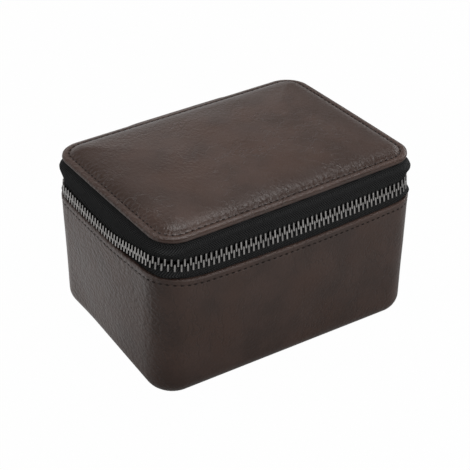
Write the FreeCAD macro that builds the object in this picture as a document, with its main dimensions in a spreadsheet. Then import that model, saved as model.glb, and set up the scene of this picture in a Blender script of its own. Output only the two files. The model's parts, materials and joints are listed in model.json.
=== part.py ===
import FreeCAD, Part
import Sketcher
import math
import os
from FreeCAD import Vector

# Watch travel case: a leather box whose lid is held by a metal zip.
# Origin: centre of the underside. +X runs along the long front, the front faces -Y,
# the spine that hinges the lid is at the back, and +Z points up.

SHEET = "sizes"
SIZES = {
    # the base, measured over its leather
    "case_length": 120,
    "case_depth": 88,
    "base_corner": 12,
    "base_edge_level": 55.2,
    "bottom_round": 7,
    "base_leather": 1.4,
    "base_board": 1.6,
    "base_lining": 1.0,
    "floor_lining": 1.8,
    "layer_gap": 0.05,
    "leather_turn_under": 12,
    "board_turn_under": 10,
    "lining_turn_under": 9,
    "panel_seam": 0.15,
    "board_below_edge": 1.5,
    "lining_below_edge": 0.8,
    # the zip
    "zip_above_edge": 6.4,
    "tape": 0.7,
    "tape_hem": 7,
    "tape_flange": 6,
    "tape_edge_reach": 1.2,
    "tape_clearance": 0.06,
    "tooth_pitch": 2.15,
    "tooth_gap": 0.225,
    "tooth_thickness": 2.6,
    "tooth_head_reach": 0.5,
    "chain_height": 5.7,
    "stop_length": 1.8,
    "stop_height": 1.9,
    "stop_gap": 0.1,
    # the spine at the back
    "spine_to_corner": 15,
    "spine_leather": 1.2,
    "spine_lining": 0.9,
    "spine_overlap": 10,
    "spine_tuck": 3,
    # the lid, measured over its leather
    "lid_inset_long": 0.9,
    "lid_inset_deep": 0.8,
    "lid_corner": 10.5,
    "lid_above_zip": 9.8,
    "lid_leather": 1.0,
    "lid_skived_leather": 0.6,
    "lid_turn_in": 7,
    "lid_board": 1.0,
    "lid_foam_edge": 0.2,
    "lid_crown": 0.8,
    "lid_edge_round": 1.3,
    "lid_lining": 1.0,
    # the compartments
    "divider_thickness": 3,
    "divider_below_edge": 8,
    "divider_gap": 0.1,
    "cushion_side_gap": 3.7,
    "cushion_end_gap": 5.9,
    "cushion_below_edge": 10.8,
    "cushion_side_flat": 4,
    "cushion_gap": 0.3,
    # the slider
    "slider_length": 9.5,
    "slider_lip": 0.5,
    "slider_flare": 0.6,
    "slider_shoulder": 4.2,
    "slider_plate": 1.1,
    "slider_corner": 0.9,
    "slider_park_gap": 0.5,
    "slider_travel": 6,
    "channel_clearance": 0.25,
    "flange_clearance": 0.35,
    "slot_clearance": 0.3,
    "diamond_half": 1.0,
    "diamond_length": 3.6,
    "diamond_setback": 0.6,
    # the bail, the link and the pull
    "bail_span": 6.4,
    "bail_width": 1.5,
    "bail_wire": 1.1,
    "bail_foot": 1.5,
    "link_wire": 1.0,
    "link_side_play": 0.1,
    "link_inner_length": 7.2,
    "link_clearance": 0.25,
    "link_play": 0.1,
    "pull_width": 7,
    "pull_length": 26,
    "pull_thickness": 1.7,
    "pull_corner": 2.4,
    "pull_edge_distance": 3.0,
    "eyelet_bore": 1.2,
    "eyelet_wall": 0.3,
    "eyelet_rim": 0.7,
    "eyelet_rim_thickness": 0.2,
    # how far a cut runs past what it cuts
    "overrun": 1,
}

# Counts and shapes given as shares
cushion_station_shares = (-0.5, -0.44, -0.22, 0, 0.22, 0.44, 0.5)
cushion_girth_shares = (0.8, 0.9, 0.98, 1, 0.98, 0.9, 0.8)


class Length:
    """A number of millimetres that remembers the sheet expression it comes from."""

    def __init__(self, value, text):
        self.value = value
        self.text = text

    def combined(self, other, sign, value):
        text = other.text if isinstance(other, Length) else str(other)
        return Length(value, f"({self.text} {sign} {text})")

    def __add__(self, other):
        return self.combined(other, "+", self.value + number(other))

    def __sub__(self, other):
        return self.combined(other, "-", self.value - number(other))

    def __mul__(self, other):
        return self.combined(other, "*", self.value * number(other))

    def __truediv__(self, other):
        return self.combined(other, "/", self.value / number(other))

    def __neg__(self):
        return Length(-self.value, f"(0 - {self.text})")


def number(length):
    """The plain value of a Length or of a number."""
    return length.value if isinstance(length, Length) else length


def hypotenuse(a, b):
    """The long side of a right-angled triangle."""
    return Length(math.hypot(a.value, b.value), f"sqrt({a.text}^2 + {b.text}^2)")


class Sizes:
    """The driving sizes, one attribute for each alias of the sheet."""

    def __init__(self, table):
        for alias, value in table.items():
            setattr(self, alias, Length(value, f"{SHEET}.{alias}"))


def make_sheet(doc):
    """Write every driving size into the spreadsheet under its alias."""
    sheet = doc.addObject("Spreadsheet::Sheet", SHEET)
    for row, (alias, value) in enumerate(SIZES.items(), start=1):
        sheet.set(f"A{row}", alias)
        sheet.set(f"B{row}", str(value))
        sheet.setAlias(f"B{row}", alias)
    doc.recompute()


doc = FreeCAD.newDocument("watch_travel_case")
make_sheet(doc)
size = Sizes(SIZES)
ZERO = Length(0, "0")

# Sizes and places that several pieces share, all worked out from the sheet
half_long = size.case_length / 2
half_deep = size.case_depth / 2
zip_level = size.base_edge_level + size.zip_above_edge
lid_rim_level = zip_level + size.lid_above_zip
tooth_width = size.tooth_pitch / 2 - size.tooth_gap
tape_inset = size.base_leather + size.layer_gap
zip_half_long = half_long - tape_inset - size.tape / 2
zip_half_deep = half_deep - tape_inset - size.tape / 2
zip_corner = size.base_corner - tape_inset - size.tape / 2
zip_line_y = zip_half_deep
spine_half = half_long - size.base_corner - size.spine_to_corner
tape_end_x = spine_half - size.spine_tuck
lid_half_long = half_long - size.lid_inset_long
lid_half_deep = half_deep - size.lid_inset_deep
board_inset = size.base_leather + size.layer_gap
lining_inset = board_inset + size.base_board + size.layer_gap
bay_inset = lining_inset + size.base_lining
floor_top = lining_inset + size.floor_lining
divider_level = size.base_edge_level - size.divider_below_edge
slider_nose_x = spine_half + size.slider_park_gap
slider_tail_x = slider_nose_x + size.slider_length
slider_middle_x = slider_nose_x + size.slider_length / 2
lid_board_level = lid_rim_level + size.lid_skived_leather
lid_board_top = lid_board_level + size.lid_board
lid_apex = lid_board_top + size.lid_foam_edge + size.lid_crown + size.lid_leather

finished = []


def finish_piece(item, label):
    """Name a finished sub-part, which is one node of the assembly."""
    item.Label = label
    finished.append(item)
    return item


# Sketches and features. A sketch numbers the points of its geometry in this order.

POINTS = ("edge", "start", "end", "centre")
START, END, CENTRE = (POINTS.index(name) for name in ("start", "end", "centre"))
ORIGIN = -1
QUARTERS = ((1, -1), (1, 1), (-1, 1), (-1, -1))


def origin_plane(body, role):
    """One of a body's own origin planes."""
    return next(f for f in body.Origin.OriginFeatures if f.Role == role)


def new_sketch(body, name, role, level):
    """An empty sketch on a body's origin plane, moved out to a level along its normal."""
    sketch = body.newObject("Sketcher::SketchObject", name)
    sketch.AttachmentSupport = [(origin_plane(body, role), "")]
    sketch.MapMode = "FlatFace"
    sketch.setExpression(".AttachmentOffset.Base.z", level.text)
    return sketch


def bind(sketch, constraint, length, name):
    """Add a dimension to a sketch and tie it to its expression."""
    index = sketch.addConstraint(constraint)
    sketch.renameConstraint(index, name)
    sketch.setExpression(f"Constraints.{name}", length.text)


def place_point(sketch, geometry, point, x, y):
    """Tie a point of a sketch's geometry to its distances from the sketch's origin."""
    name = f"point_{geometry}"
    across = Sketcher.Constraint("DistanceX", ORIGIN, START, geometry, point, x.value)
    along = Sketcher.Constraint("DistanceY", ORIGIN, START, geometry, point, y.value)
    bind(sketch, across, x, f"{name}_x")
    bind(sketch, along, y, f"{name}_y")


def add_rounded_outline(sketch, name, half_x, half_y, corner, middle_y=ZERO):
    """A rectangle with four rounded corners, its middle on the sketch's upright axis."""
    a, b, r = half_x.value, half_y.value, corner.value
    middle = Vector(0, middle_y.value, 0)
    sides = (
        (Vector(r - a, -b, 0), Vector(a - r, -b, 0)),
        (Vector(a, r - b, 0), Vector(a, b - r, 0)),
        (Vector(a - r, b, 0), Vector(r - a, b, 0)),
        (Vector(-a, b - r, 0), Vector(-a, r - b, 0)),
    )
    lines = [
        sketch.addGeometry(Part.LineSegment(middle + start, middle + end), False) for start, end in sides
    ]
    arcs = []
    for quarter, (sx, sy) in enumerate(QUARTERS):
        circle = Part.Circle(middle + Vector(sx * (a - r), sy * (b - r), 0), Vector(0, 0, 1), r)
        start = (quarter - 1) * math.pi / 2
        arcs.append(sketch.addGeometry(Part.ArcOfCircle(circle, start, start + math.pi / 2), False))
    for index in range(len(lines)):
        following = (index + 1) % len(lines)
        sketch.addConstraint(Sketcher.Constraint("Tangent", lines[index], END, arcs[index], START))
        sketch.addConstraint(Sketcher.Constraint("Tangent", arcs[index], END, lines[following], START))
    for index, (sx, sy) in enumerate(QUARTERS):
        place_point(sketch, arcs[index], CENTRE, (half_x - corner) * sx, (half_y - corner) * sy + middle_y)
        bind(sketch, Sketcher.Constraint("Radius", arcs[index], r), corner, f"{name}_corner_{index}")


def add_polygon(sketch, places):
    """A closed outline of straight sides through the places given."""
    points = [Vector(x.value, y.value, 0) for x, y in places]
    lines = [
        sketch.addGeometry(Part.LineSegment(points[i], points[(i + 1) % len(points)]), False)
        for i in range(len(points))
    ]
    for index, (x, y) in enumerate(places):
        sketch.addConstraint(Sketcher.Constraint("Coincident", lines[index - 1], END, lines[index], START))
        place_point(sketch, lines[index], START, x, y)


def add_box_outline(sketch, left, right, low, high):
    """A plain rectangle."""
    add_polygon(sketch, ((left, low), (right, low), (right, high), (left, high)))


def add_circle(sketch, name, x, y, radius):
    """A circle tied to its centre and radius."""
    centre = Vector(x.value, y.value, 0)
    circle = sketch.addGeometry(Part.Circle(centre, Vector(0, 0, 1), radius.value), False)
    place_point(sketch, circle, CENTRE, x, y)
    bind(sketch, Sketcher.Constraint("Radius", circle, radius.value), radius, f"{name}_radius")


def new_body(name):
    return doc.addObject("PartDesign::Body", name)


def pad(body, sketch, length):
    """Pad a sketch along its normal."""
    feature = body.newObject("PartDesign::Pad", f"{sketch.Name}_pad")
    feature.Profile = sketch
    feature.setExpression("Length", length.text)
    doc.recompute()
    return feature


def pocket(body, sketch, length, along_normal=True):
    """Cut a sketch into the body, and make sure that it took something away."""
    before = body.Shape.Volume
    feature = body.newObject("PartDesign::Pocket", f"{sketch.Name}_pocket")
    feature.Profile = sketch
    feature.setExpression("Length", length.text)
    feature.Reversed = along_normal
    doc.recompute()
    if not body.Shape.Volume < before:
        raise RuntimeError(f"{feature.Name} cuts nothing")
    return feature


def edge_names(shape, wanted):
    """The names of a shape's edges that answer a test."""
    return [f"Edge{i}" for i, edge in enumerate(shape.Edges, start=1) if wanted(edge)]


def fillet(body, name, radius, wanted):
    """Round the edges of the body's last feature that answer a test."""
    base = body.Tip
    feature = body.newObject("PartDesign::Fillet", name)
    feature.Base = (base, edge_names(base.Shape, wanted))
    feature.setExpression("Radius", radius.text)
    doc.recompute()
    return feature


def lies_at(level):
    """A test for edges that lie flat at a level."""
    slack = size.layer_gap.value / 10

    def wanted(edge):
        box = edge.BoundBox
        return abs(box.ZMin - level.value) < slack and abs(box.ZMax - level.value) < slack

    return wanted


# Forms that several pieces are made of


def rounded_block(name, half_x, half_y, corner, low, high):
    """A plain block with rounded upright corners."""
    body = new_body(name)
    sketch = new_sketch(body, f"{name}_outline", "XY_Plane", low)
    add_rounded_outline(sketch, "rim", half_x, half_y, corner)
    pad(body, sketch, high - low)
    return body


def hollow_wall(name, inset, thickness, low, high, turn_under):
    """A wall round the case that curves in at the bottom and is open in the middle of its floor."""
    outer_round = size.bottom_round - inset
    inner = inset + thickness
    body = rounded_block(name, half_long - inset, half_deep - inset, size.base_corner - inset, low, high)
    cavity = new_sketch(body, f"{name}_cavity", "XY_Plane", low + thickness)
    add_rounded_outline(cavity, "rim", half_long - inner, half_deep - inner, size.base_corner - inner)
    pocket(body, cavity, high - low)
    fillet(body, f"{name}_inside", outer_round - thickness, lies_at(low + thickness))
    fillet(body, f"{name}_bottom", outer_round, lies_at(low))
    opening = new_sketch(body, f"{name}_opening", "XY_Plane", low - size.overrun)
    opening_corner = size.base_corner + size.bottom_round - turn_under
    add_rounded_outline(opening, "rim", half_long - turn_under, half_deep - turn_under, opening_corner)
    pocket(body, opening, thickness + size.overrun * 2)
    return body


def floor_panel(name, turn_under, low, thickness):
    """A panel that fills the opening in the floor of a hollow wall."""
    inset = turn_under + size.panel_seam
    corner = size.base_corner + size.bottom_round - turn_under - size.panel_seam
    return rounded_block(name, half_long - inset, half_deep - inset, corner, low, low + thickness)


def open_at_spine(body, name, half_gap, low, high):
    """Take away a ring's stretch across the back."""
    gap = new_sketch(body, f"{name}_gap", "XY_Plane", low - size.overrun)
    add_box_outline(gap, -half_gap, half_gap, ZERO, half_deep + size.overrun)
    pocket(body, gap, high - low + size.overrun * 2)


def tape_band(name, low, high):
    """A band of zip tape that follows the case's outline and ends at the spine."""
    body = new_body(name)
    sketch = new_sketch(body, f"{name}_outline", "XY_Plane", low)
    inner = tape_inset + size.tape
    for ring, inset in (("outer", tape_inset), ("inner", inner)):
        add_rounded_outline(sketch, ring, half_long - inset, half_deep - inset, size.base_corner - inset)
    pad(body, sketch, high - low)
    return body


# The zip's path: a rounded rectangle that starts where the tape ends, under the right edge of the
# spine, and runs round the front to the tape's other end

PATH_RIGHT, PATH_FRONT, PATH_LEFT = -math.pi / 2, -math.pi, -1.5 * math.pi
UP = Vector(0, 0, 1)


def zip_path_length():
    """The tape's length from one of its ends to the other."""
    straight = 2 * (zip_half_long.value + zip_half_deep.value) * 2 - 8 * zip_corner.value
    return straight + 2 * math.pi * zip_corner.value - 2 * tape_end_x.value


def zip_place(distance):
    """A point on the path, and the direction in which the path runs there, as an angle."""
    across = zip_half_long.value - zip_corner.value
    along = zip_half_deep.value - zip_corner.value
    radius = zip_corner.value
    quarter = radius * math.pi / 2
    end_x = tape_end_x.value
    legs = (
        (Vector(end_x, zip_line_y.value, 0), 0, across - end_x),
        (Vector(zip_half_long.value, along, 0), PATH_RIGHT, 2 * along),
        (Vector(across, -zip_half_deep.value, 0), PATH_FRONT, 2 * across),
        (Vector(-zip_half_long.value, -along, 0), PATH_LEFT, 2 * along),
        (Vector(-across, zip_half_deep.value, 0), -2 * math.pi, across - end_x),
    )
    for start, heading, length in legs:
        if distance <= length:
            step = Vector(math.cos(heading), math.sin(heading), 0)
            return start + step * distance, heading
        distance -= length
        if distance <= quarter:
            turned = heading - distance / radius
            end = start + Vector(math.cos(heading), math.sin(heading), 0) * length
            inward = Vector(math.sin(heading), -math.cos(heading), 0)
            outward = Vector(-math.sin(turned), math.cos(turned), 0)
            return end + inward * radius + outward * radius, turned
        distance -= quarter
    raise ValueError("past the end of the zip")


def clip_solid(upwards, width, tip, leg_end):
    """A forked prism that grips the tape: from its tip, over the tape's edge, to its two legs' ends."""
    side = 1 if upwards else -1
    half_thick = size.tooth_thickness.value / 2
    slot = number(size.tape / 2 + size.tape_clearance)
    outline = (
        (-half_thick, tip.value),
        (half_thick, tip.value),
        (half_thick, leg_end.value),
        (slot, leg_end.value),
        (slot, clip_root.value),
        (-slot, clip_root.value),
        (-slot, leg_end.value),
        (-half_thick, leg_end.value),
    )
    points = [Vector(-width.value / 2, y, side * z) for y, z in outline]
    wire = Part.makePolygon(points + points[:1])
    return Part.Face(wire).extrude(Vector(width.value, 0, 0))


def tooth_solid(upwards):
    """One tooth: its head crosses the middle of the chain."""
    return clip_solid(upwards, tooth_width, -size.tooth_head_reach, size.chain_height / 2)


def stop_solid(upwards):
    """One end stop, pressed over the edge of the tape."""
    tip = clip_root - size.tape
    return clip_solid(upwards, size.stop_length, tip, tip + size.stop_height)


def placed_on_zip(solid, distance):
    """A copy of a solid, moved to a place on the zip's path and turned to follow it."""
    place, heading = zip_place(distance)
    copy = solid.copy()
    copy.rotate(Vector(0, 0, 0), UP, math.degrees(heading))
    copy.translate(place + UP * zip_level.value)
    return copy


def shape_piece(label, shape):
    """A sub-part whose shape is worked out in code."""
    piece = doc.addObject("Part::Feature", label)
    piece.Shape = shape
    return finish_piece(piece, label)


# Where a tooth or a stop rests on the edge of its tape, measured from the middle of the chain
clip_root = size.tape_edge_reach - size.tape_clearance

# Places along the zip's path: the end stops under the spine's edge, the first tooth behind the
# slider's wedge, and how far the slider reaches when it has run its straight stretch
stop_place = size.spine_tuck - size.stop_gap - size.stop_length / 2
wedge_end = size.spine_tuck + size.slider_park_gap + size.diamond_setback + size.diamond_length
first_tooth = wedge_end + tooth_width + size.channel_clearance
slider_park_end = size.spine_tuck + size.slider_park_gap + size.slider_length
slider_reach = slider_park_end + size.slider_travel + size.tooth_pitch


def make_teeth(label, upwards):
    """One row of teeth in two groups: the ones that the slider reaches, and the rest."""
    tooth = tooth_solid(upwards)
    pitch = size.tooth_pitch.value
    start = first_tooth.value + (pitch / 2 if upwards else 0)
    last = zip_path_length() - number(stop_place + size.stop_length / 2 + tooth_width)
    count = int((last - start) / pitch) + 1
    groups = {True: [], False: []}
    for index in range(count):
        distance = start + index * pitch
        groups[distance < slider_reach.value].append(placed_on_zip(tooth, distance))
    shape_piece(label, Part.Compound(groups[False]))
    shape_piece(f"{label}_slider_end", Part.Compound(groups[True]))


def make_stops(label, upwards):
    """The clips at the two ends of one row."""
    stop = stop_solid(upwards)
    near = stop_place.value
    far = zip_path_length() - near
    shape_piece(label, Part.Compound([placed_on_zip(stop, at) for at in (near, far)]))


# The base


def make_base_wall_leather():
    """The wall's leather, wrapped round the bottom edge and turned under."""
    body = hollow_wall(
        "base_wall_leather",
        ZERO,
        size.base_leather,
        ZERO,
        size.base_edge_level,
        size.leather_turn_under,
    )
    finish_piece(body, "base_wall_leather")


def make_base_bottom_leather():
    """The panel let into the underside, flush with the turned leather."""
    body = floor_panel("base_bottom_leather", size.leather_turn_under, ZERO, size.base_leather)
    finish_piece(body, "base_bottom_leather")


def make_base_wall_board():
    """The stiffener in the walls, rebated at the top for the hem of the tape."""
    name = "base_wall_board"
    top = size.base_edge_level - size.board_below_edge
    body = hollow_wall(name, board_inset, size.base_board, board_inset, top, size.board_turn_under)
    hem_level = size.base_edge_level - size.tape_hem - size.layer_gap
    rebate = new_sketch(body, f"{name}_rebate", "XY_Plane", hem_level)
    outer = board_inset - size.overrun
    inner = tape_inset + size.tape + size.layer_gap
    for ring, inset in (("outer", outer), ("inner", inner)):
        add_rounded_outline(rebate, ring, half_long - inset, half_deep - inset, size.base_corner - inset)
    pocket(body, rebate, size.tape_hem + size.overrun)
    finish_piece(body, name)


def make_base_floor_board():
    """The stiffener under the floor."""
    body = floor_panel("base_floor_board", size.board_turn_under, board_inset, size.base_board)
    finish_piece(body, "base_floor_board")


def make_base_wall_lining():
    """The lining of the walls, curved in at the floor."""
    name = "base_wall_lining"
    top = size.base_edge_level - size.lining_below_edge
    body = hollow_wall(name, lining_inset, size.base_lining, lining_inset, top, size.lining_turn_under)
    finish_piece(body, name)


def make_base_floor_lining():
    """The padded lining of the floor."""
    body = floor_panel("base_floor_lining", size.lining_turn_under, lining_inset, size.floor_lining)
    finish_piece(body, "base_floor_lining")


def make_compartment_divider():
    """The padded divider between the two watches, with a rounded top."""
    name = "compartment_divider"
    body = new_body(name)
    half = size.divider_thickness / 2
    reach = half_deep - bay_inset - size.divider_gap
    low = floor_top + size.divider_gap
    sketch = new_sketch(body, f"{name}_outline", "XY_Plane", low)
    add_box_outline(sketch, -half, half, -reach, reach)
    pad(body, sketch, divider_level - low)
    fillet(body, f"{name}_foot", size.bottom_round - lining_inset + size.layer_gap, is_divider_end(low))
    fillet(body, f"{name}_top", half - size.layer_gap, is_divider_top())
    finish_piece(body, name)


def is_divider_end(low):
    """A test for the two short bottom edges, which meet the lining's curve."""
    flat = lies_at(low)

    def wanted(edge):
        return flat(edge) and edge.BoundBox.YLength < size.layer_gap.value

    return wanted


def is_divider_top():
    """A test for the two long top edges."""
    flat = lies_at(divider_level)

    def wanted(edge):
        return flat(edge) and edge.BoundBox.XLength < size.layer_gap.value

    return wanted


def rounded_wire(x, half_y, half_z, corner, middle_z):
    """A rounded rectangle that stands across the X axis, from straight sides and arcs."""
    a, b, r = half_y, half_z, corner
    slant = r * (1 - math.sqrt(0.5))
    edges = []
    for sy, sz in ((1, -1), (1, 1), (-1, 1), (-1, -1)):
        low_end = Vector(x, sy * (a - r), middle_z + sz * b)
        side_end = Vector(x, sy * a, middle_z + sz * (b - r))
        middle = Vector(x, sy * (a - slant), middle_z + sz * (b - slant))
        ends = (low_end, side_end) if sy * sz < 0 else (side_end, low_end)
        arc = Part.Arc(ends[0], middle, ends[1]).toShape()
        if edges:
            edges.append(Part.makeLine(edges[-1].lastVertex().Point, ends[0]))
        edges.append(arc)
    edges.append(Part.makeLine(edges[-1].lastVertex().Point, edges[0].firstVertex().Point))
    return Part.Wire(edges)


# A cushion lies in its bay with room for a strap at its sides and for the case's curve at its ends
bay_near_x = size.divider_thickness / 2
bay_far_x = half_long - bay_inset
bay_middle_x = (bay_near_x + bay_far_x) / 2
cushion_length = bay_far_x - bay_near_x - size.cushion_side_gap * 2
cushion_half_depth = half_deep - bay_inset - size.cushion_end_gap
cushion_low = floor_top + size.cushion_gap
cushion_half_height = (size.base_edge_level - size.cushion_below_edge - cushion_low) / 2
cushion_corner = cushion_half_height - size.cushion_side_flat / 2


def make_watch_cushion(side_name, side):
    """A watch cushion: a crowned pillow whose two ends draw in."""
    wires = []
    for station, girth in zip(cushion_station_shares, cushion_girth_shares):
        wires.append(
            rounded_wire(
                side * bay_middle_x.value + station * cushion_length.value,
                cushion_half_depth.value * girth,
                cushion_half_height.value * girth,
                cushion_corner.value * girth,
                number(cushion_low + cushion_half_height),
            )
        )
    shape_piece(f"watch_cushion_{side_name}", Part.makeLoft(wires, True, True))


def make_zip_tape_lower():
    """The lower tape: its hem lies behind the leather and its edge runs into the teeth."""
    low = size.base_edge_level - size.tape_hem
    high = zip_level - size.tape_edge_reach
    body = tape_band("zip_tape_lower", low, high)
    open_at_spine(body, "zip_tape_lower", tape_end_x, low, high)
    finish_piece(body, "zip_tape_lower")


def make_spine():
    """The leather hinge over the back and its inner layer."""
    low = size.base_edge_level - size.spine_overlap
    high = lid_board_top
    inner_y = half_deep + size.layer_gap
    for name, half, start, thickness, bottom, top in (
        ("spine_leather", spine_half, inner_y, size.spine_leather, low, high),
        (
            "spine_lining",
            tape_end_x,
            half_deep - size.spine_lining,
            size.spine_lining,
            size.base_edge_level + size.layer_gap,
            lid_rim_level - size.layer_gap,
        ),
    ):
        body = new_body(name)
        sketch = new_sketch(body, f"{name}_outline", "XY_Plane", bottom)
        add_box_outline(sketch, -half, half, start, start + thickness)
        pad(body, sketch, top - bottom)
        finish_piece(body, name)


# The lid


def domed_block(name, half_x, half_y, corner, low, apex):
    """A rounded block whose top is a shallow dome that falls by the lid's crown at the corners."""
    block = rounded_block(f"{name}_block", half_x, half_y, corner, low, apex)
    reach = hypotenuse(lid_half_long, lid_half_deep)
    radius = (reach * reach / size.lid_crown + size.lid_crown) / 2
    ball = doc.addObject("Part::Sphere", f"{name}_ball")
    ball.setExpression("Radius", radius.text)
    ball.setExpression(".Placement.Base.z", (apex - radius).text)
    domed = doc.addObject("Part::Common", f"{name}_domed")
    domed.Base = block
    domed.Tool = ball
    doc.recompute()
    return domed


def make_lid_top_leather():
    """The lid's leather: a crowned top, a rounded rim and a margin turned in underneath."""
    name = "lid_top_leather"
    outer = domed_block(name, lid_half_long, lid_half_deep, size.lid_corner, lid_rim_level, lid_apex)
    dome = max(outer.Shape.Faces, key=lambda face: face.BoundBox.ZMax)
    rim = [
        index
        for index, edge in enumerate(outer.Shape.Edges, start=1)
        if any(edge.isSame(border) for border in dome.Edges)
    ]
    rounded = doc.addObject("Part::Fillet", f"{name}_rounded")
    rounded.Base = outer
    rounded.Edges = [(index, size.lid_edge_round.value, size.lid_edge_round.value) for index in rim]
    inside = lid_inside(f"{name}_inside", ZERO)
    window = rounded_block(
        f"{name}_window",
        lid_half_long - size.lid_turn_in,
        lid_half_deep - size.lid_turn_in,
        size.lid_corner - size.lid_turn_in,
        lid_rim_level - size.overrun,
        lid_board_top,
    )
    hollow = doc.addObject("Part::Cut", f"{name}_hollow")
    hollow.Base = rounded
    hollow.Tool = inside
    leather = doc.addObject("Part::Cut", name)
    leather.Base = hollow
    leather.Tool = window
    doc.recompute()
    finish_piece(leather, name)


def lid_inside(name, shrink):
    """The space inside the lid's leather, from the board up to the underside of the dome."""
    inset = size.lid_leather + shrink
    return domed_block(
        name,
        lid_half_long - inset,
        lid_half_deep - inset,
        size.lid_corner - inset,
        lid_board_level,
        lid_apex - size.lid_leather - shrink,
    )


def make_lid_board():
    """The lid's stiffener."""
    inset = size.lid_leather + size.layer_gap
    body = rounded_block(
        "lid_board",
        lid_half_long - inset,
        lid_half_deep - inset,
        size.lid_corner - inset,
        lid_board_level,
        lid_board_top,
    )
    finish_piece(body, "lid_board")


def make_lid_crown_foam():
    """The foam between the board and the leather, thin at the corners."""
    name = "lid_crown_foam"
    space = lid_inside(f"{name}_space", size.layer_gap)
    below = rounded_block(
        f"{name}_below",
        lid_half_long,
        lid_half_deep,
        size.lid_corner,
        lid_rim_level,
        lid_board_top + size.layer_gap,
    )
    foam = doc.addObject("Part::Cut", name)
    foam.Base = space
    foam.Tool = below
    doc.recompute()
    finish_piece(foam, name)


def make_lid_lining():
    """The lining under the lid and the foam that fills it out."""
    lining_high = lid_rim_level - size.tape - size.layer_gap
    inset = tape_inset + size.tape + size.layer_gap
    body = rounded_block(
        "lid_lining",
        half_long - inset,
        half_deep - inset,
        size.base_corner - inset,
        lining_high - size.lid_lining,
        lining_high,
    )
    finish_piece(body, "lid_lining")
    inner = inset + size.lid_turn_in
    foam = rounded_block(
        "lid_lining_foam",
        half_long - inner,
        half_deep - inner,
        size.base_corner - size.lid_turn_in,
        lining_high + size.layer_gap,
        lid_board_level - size.layer_gap,
    )
    finish_piece(foam, "lid_lining_foam")


def upper_tape_band(name):
    """The upper tape with its hem turned in under the lid's rim, ending at the spine."""
    low = zip_level + size.tape_edge_reach
    high = lid_rim_level - size.layer_gap
    body = tape_band(name, low, high)
    flange = new_sketch(body, f"{name}_flange", "XY_Plane", high - size.tape)
    outer = tape_inset + size.tape / 2
    inner = tape_inset + size.tape_flange
    for ring, inset in (("outer", outer), ("inner", inner)):
        add_rounded_outline(flange, ring, half_long - inset, half_deep - inset, size.base_corner - inset)
    pad(body, flange, size.tape)
    open_at_spine(body, name, tape_end_x, low, high)
    return body


def make_zip_tape_upper():
    """The upper tape, in two pieces: the last stretch bends where the slider holds it."""
    body = upper_tape_band("zip_tape_upper")
    cut_level = zip_level - size.overrun
    cut_height = lid_rim_level - cut_level
    reach_x = tape_end_x + slider_reach
    notch = new_sketch(body, "zip_tape_upper_notch", "XY_Plane", cut_level)
    add_box_outline(notch, ZERO, reach_x, ZERO, half_deep + size.overrun)
    pocket(body, notch, cut_height)
    finish_piece(body, "zip_tape_upper")
    whole = upper_tape_band("zip_tape_upper_whole")
    keep = doc.addObject("Part::Box", "zip_tape_upper_keep")
    keep.setExpression("Length", reach_x.text)
    keep.setExpression("Width", (half_deep + size.overrun).text)
    keep.setExpression("Height", cut_height.text)
    keep.setExpression(".Placement.Base.z", cut_level.text)
    end = doc.addObject("Part::Common", "zip_tape_upper_slider_end")
    end.Base = whole
    end.Tool = keep
    doc.recompute()
    finish_piece(end, "zip_tape_upper_slider_end")


# The slider, which rides on the back's straight stretch and points its nose at the spine.
# Its sketches stand on the XZ plane, whose normal is -Y.

channel_half = size.tooth_thickness / 2 + size.channel_clearance
slot_half = size.tape / 2 + size.slot_clearance
slider_tail_half = size.chain_height / 2 + size.flange_clearance + size.slider_lip
slider_nose_half = slider_tail_half + size.slider_flare
pull_half_thick = size.pull_thickness / 2
link_inner_half = pull_half_thick + size.eyelet_rim_thickness + size.link_side_play
plate_outside_y = zip_line_y + channel_half + size.slider_plate
bail_bar_y = plate_outside_y + link_inner_half + size.link_wire + size.link_clearance
bail_outside_y = bail_bar_y + size.bail_wire / 2


def add_slab(body, name, low_y, high_y, outline):
    """Pad an outline of the XZ plane between two depths."""
    sketch = new_sketch(body, name, "XZ_Plane", -high_y)
    add_polygon(sketch, outline)
    pad(body, sketch, high_y - low_y)


def plate_outline():
    """The slider's plate: wide shoulders at the nose and a narrower tail."""
    upper = (
        (slider_nose_x, slider_nose_half - size.slider_corner),
        (slider_nose_x + size.slider_corner, slider_nose_half),
        (slider_nose_x + size.slider_shoulder, slider_nose_half),
        (slider_tail_x - size.slider_corner, slider_tail_half),
        (slider_tail_x, slider_tail_half - size.slider_corner),
    )
    above = [(x, zip_level + reach) for x, reach in upper]
    below = [(x, zip_level - reach) for x, reach in reversed(upper)]
    return above + below


def flange_outline(side):
    """The lip along one edge of a plate, which keeps the teeth in the channel."""
    edge = (
        (slider_nose_x + size.slider_corner, slider_nose_half),
        (slider_nose_x + size.slider_shoulder, slider_nose_half),
        (slider_tail_x - size.slider_corner, slider_tail_half),
    )
    outer = [(x, zip_level + reach * side) for x, reach in edge]
    inner = [(x, zip_level + (reach - size.slider_lip) * side) for x, reach in reversed(edge)]
    return outer + inner


def diamond_outline():
    """The wedge that parts the two rows."""
    front = slider_nose_x + size.diamond_setback
    widest = front + size.diamond_half
    return (
        (front, zip_level),
        (widest, zip_level + size.diamond_half),
        (front + size.diamond_length, zip_level),
        (widest, zip_level - size.diamond_half),
    )


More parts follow.
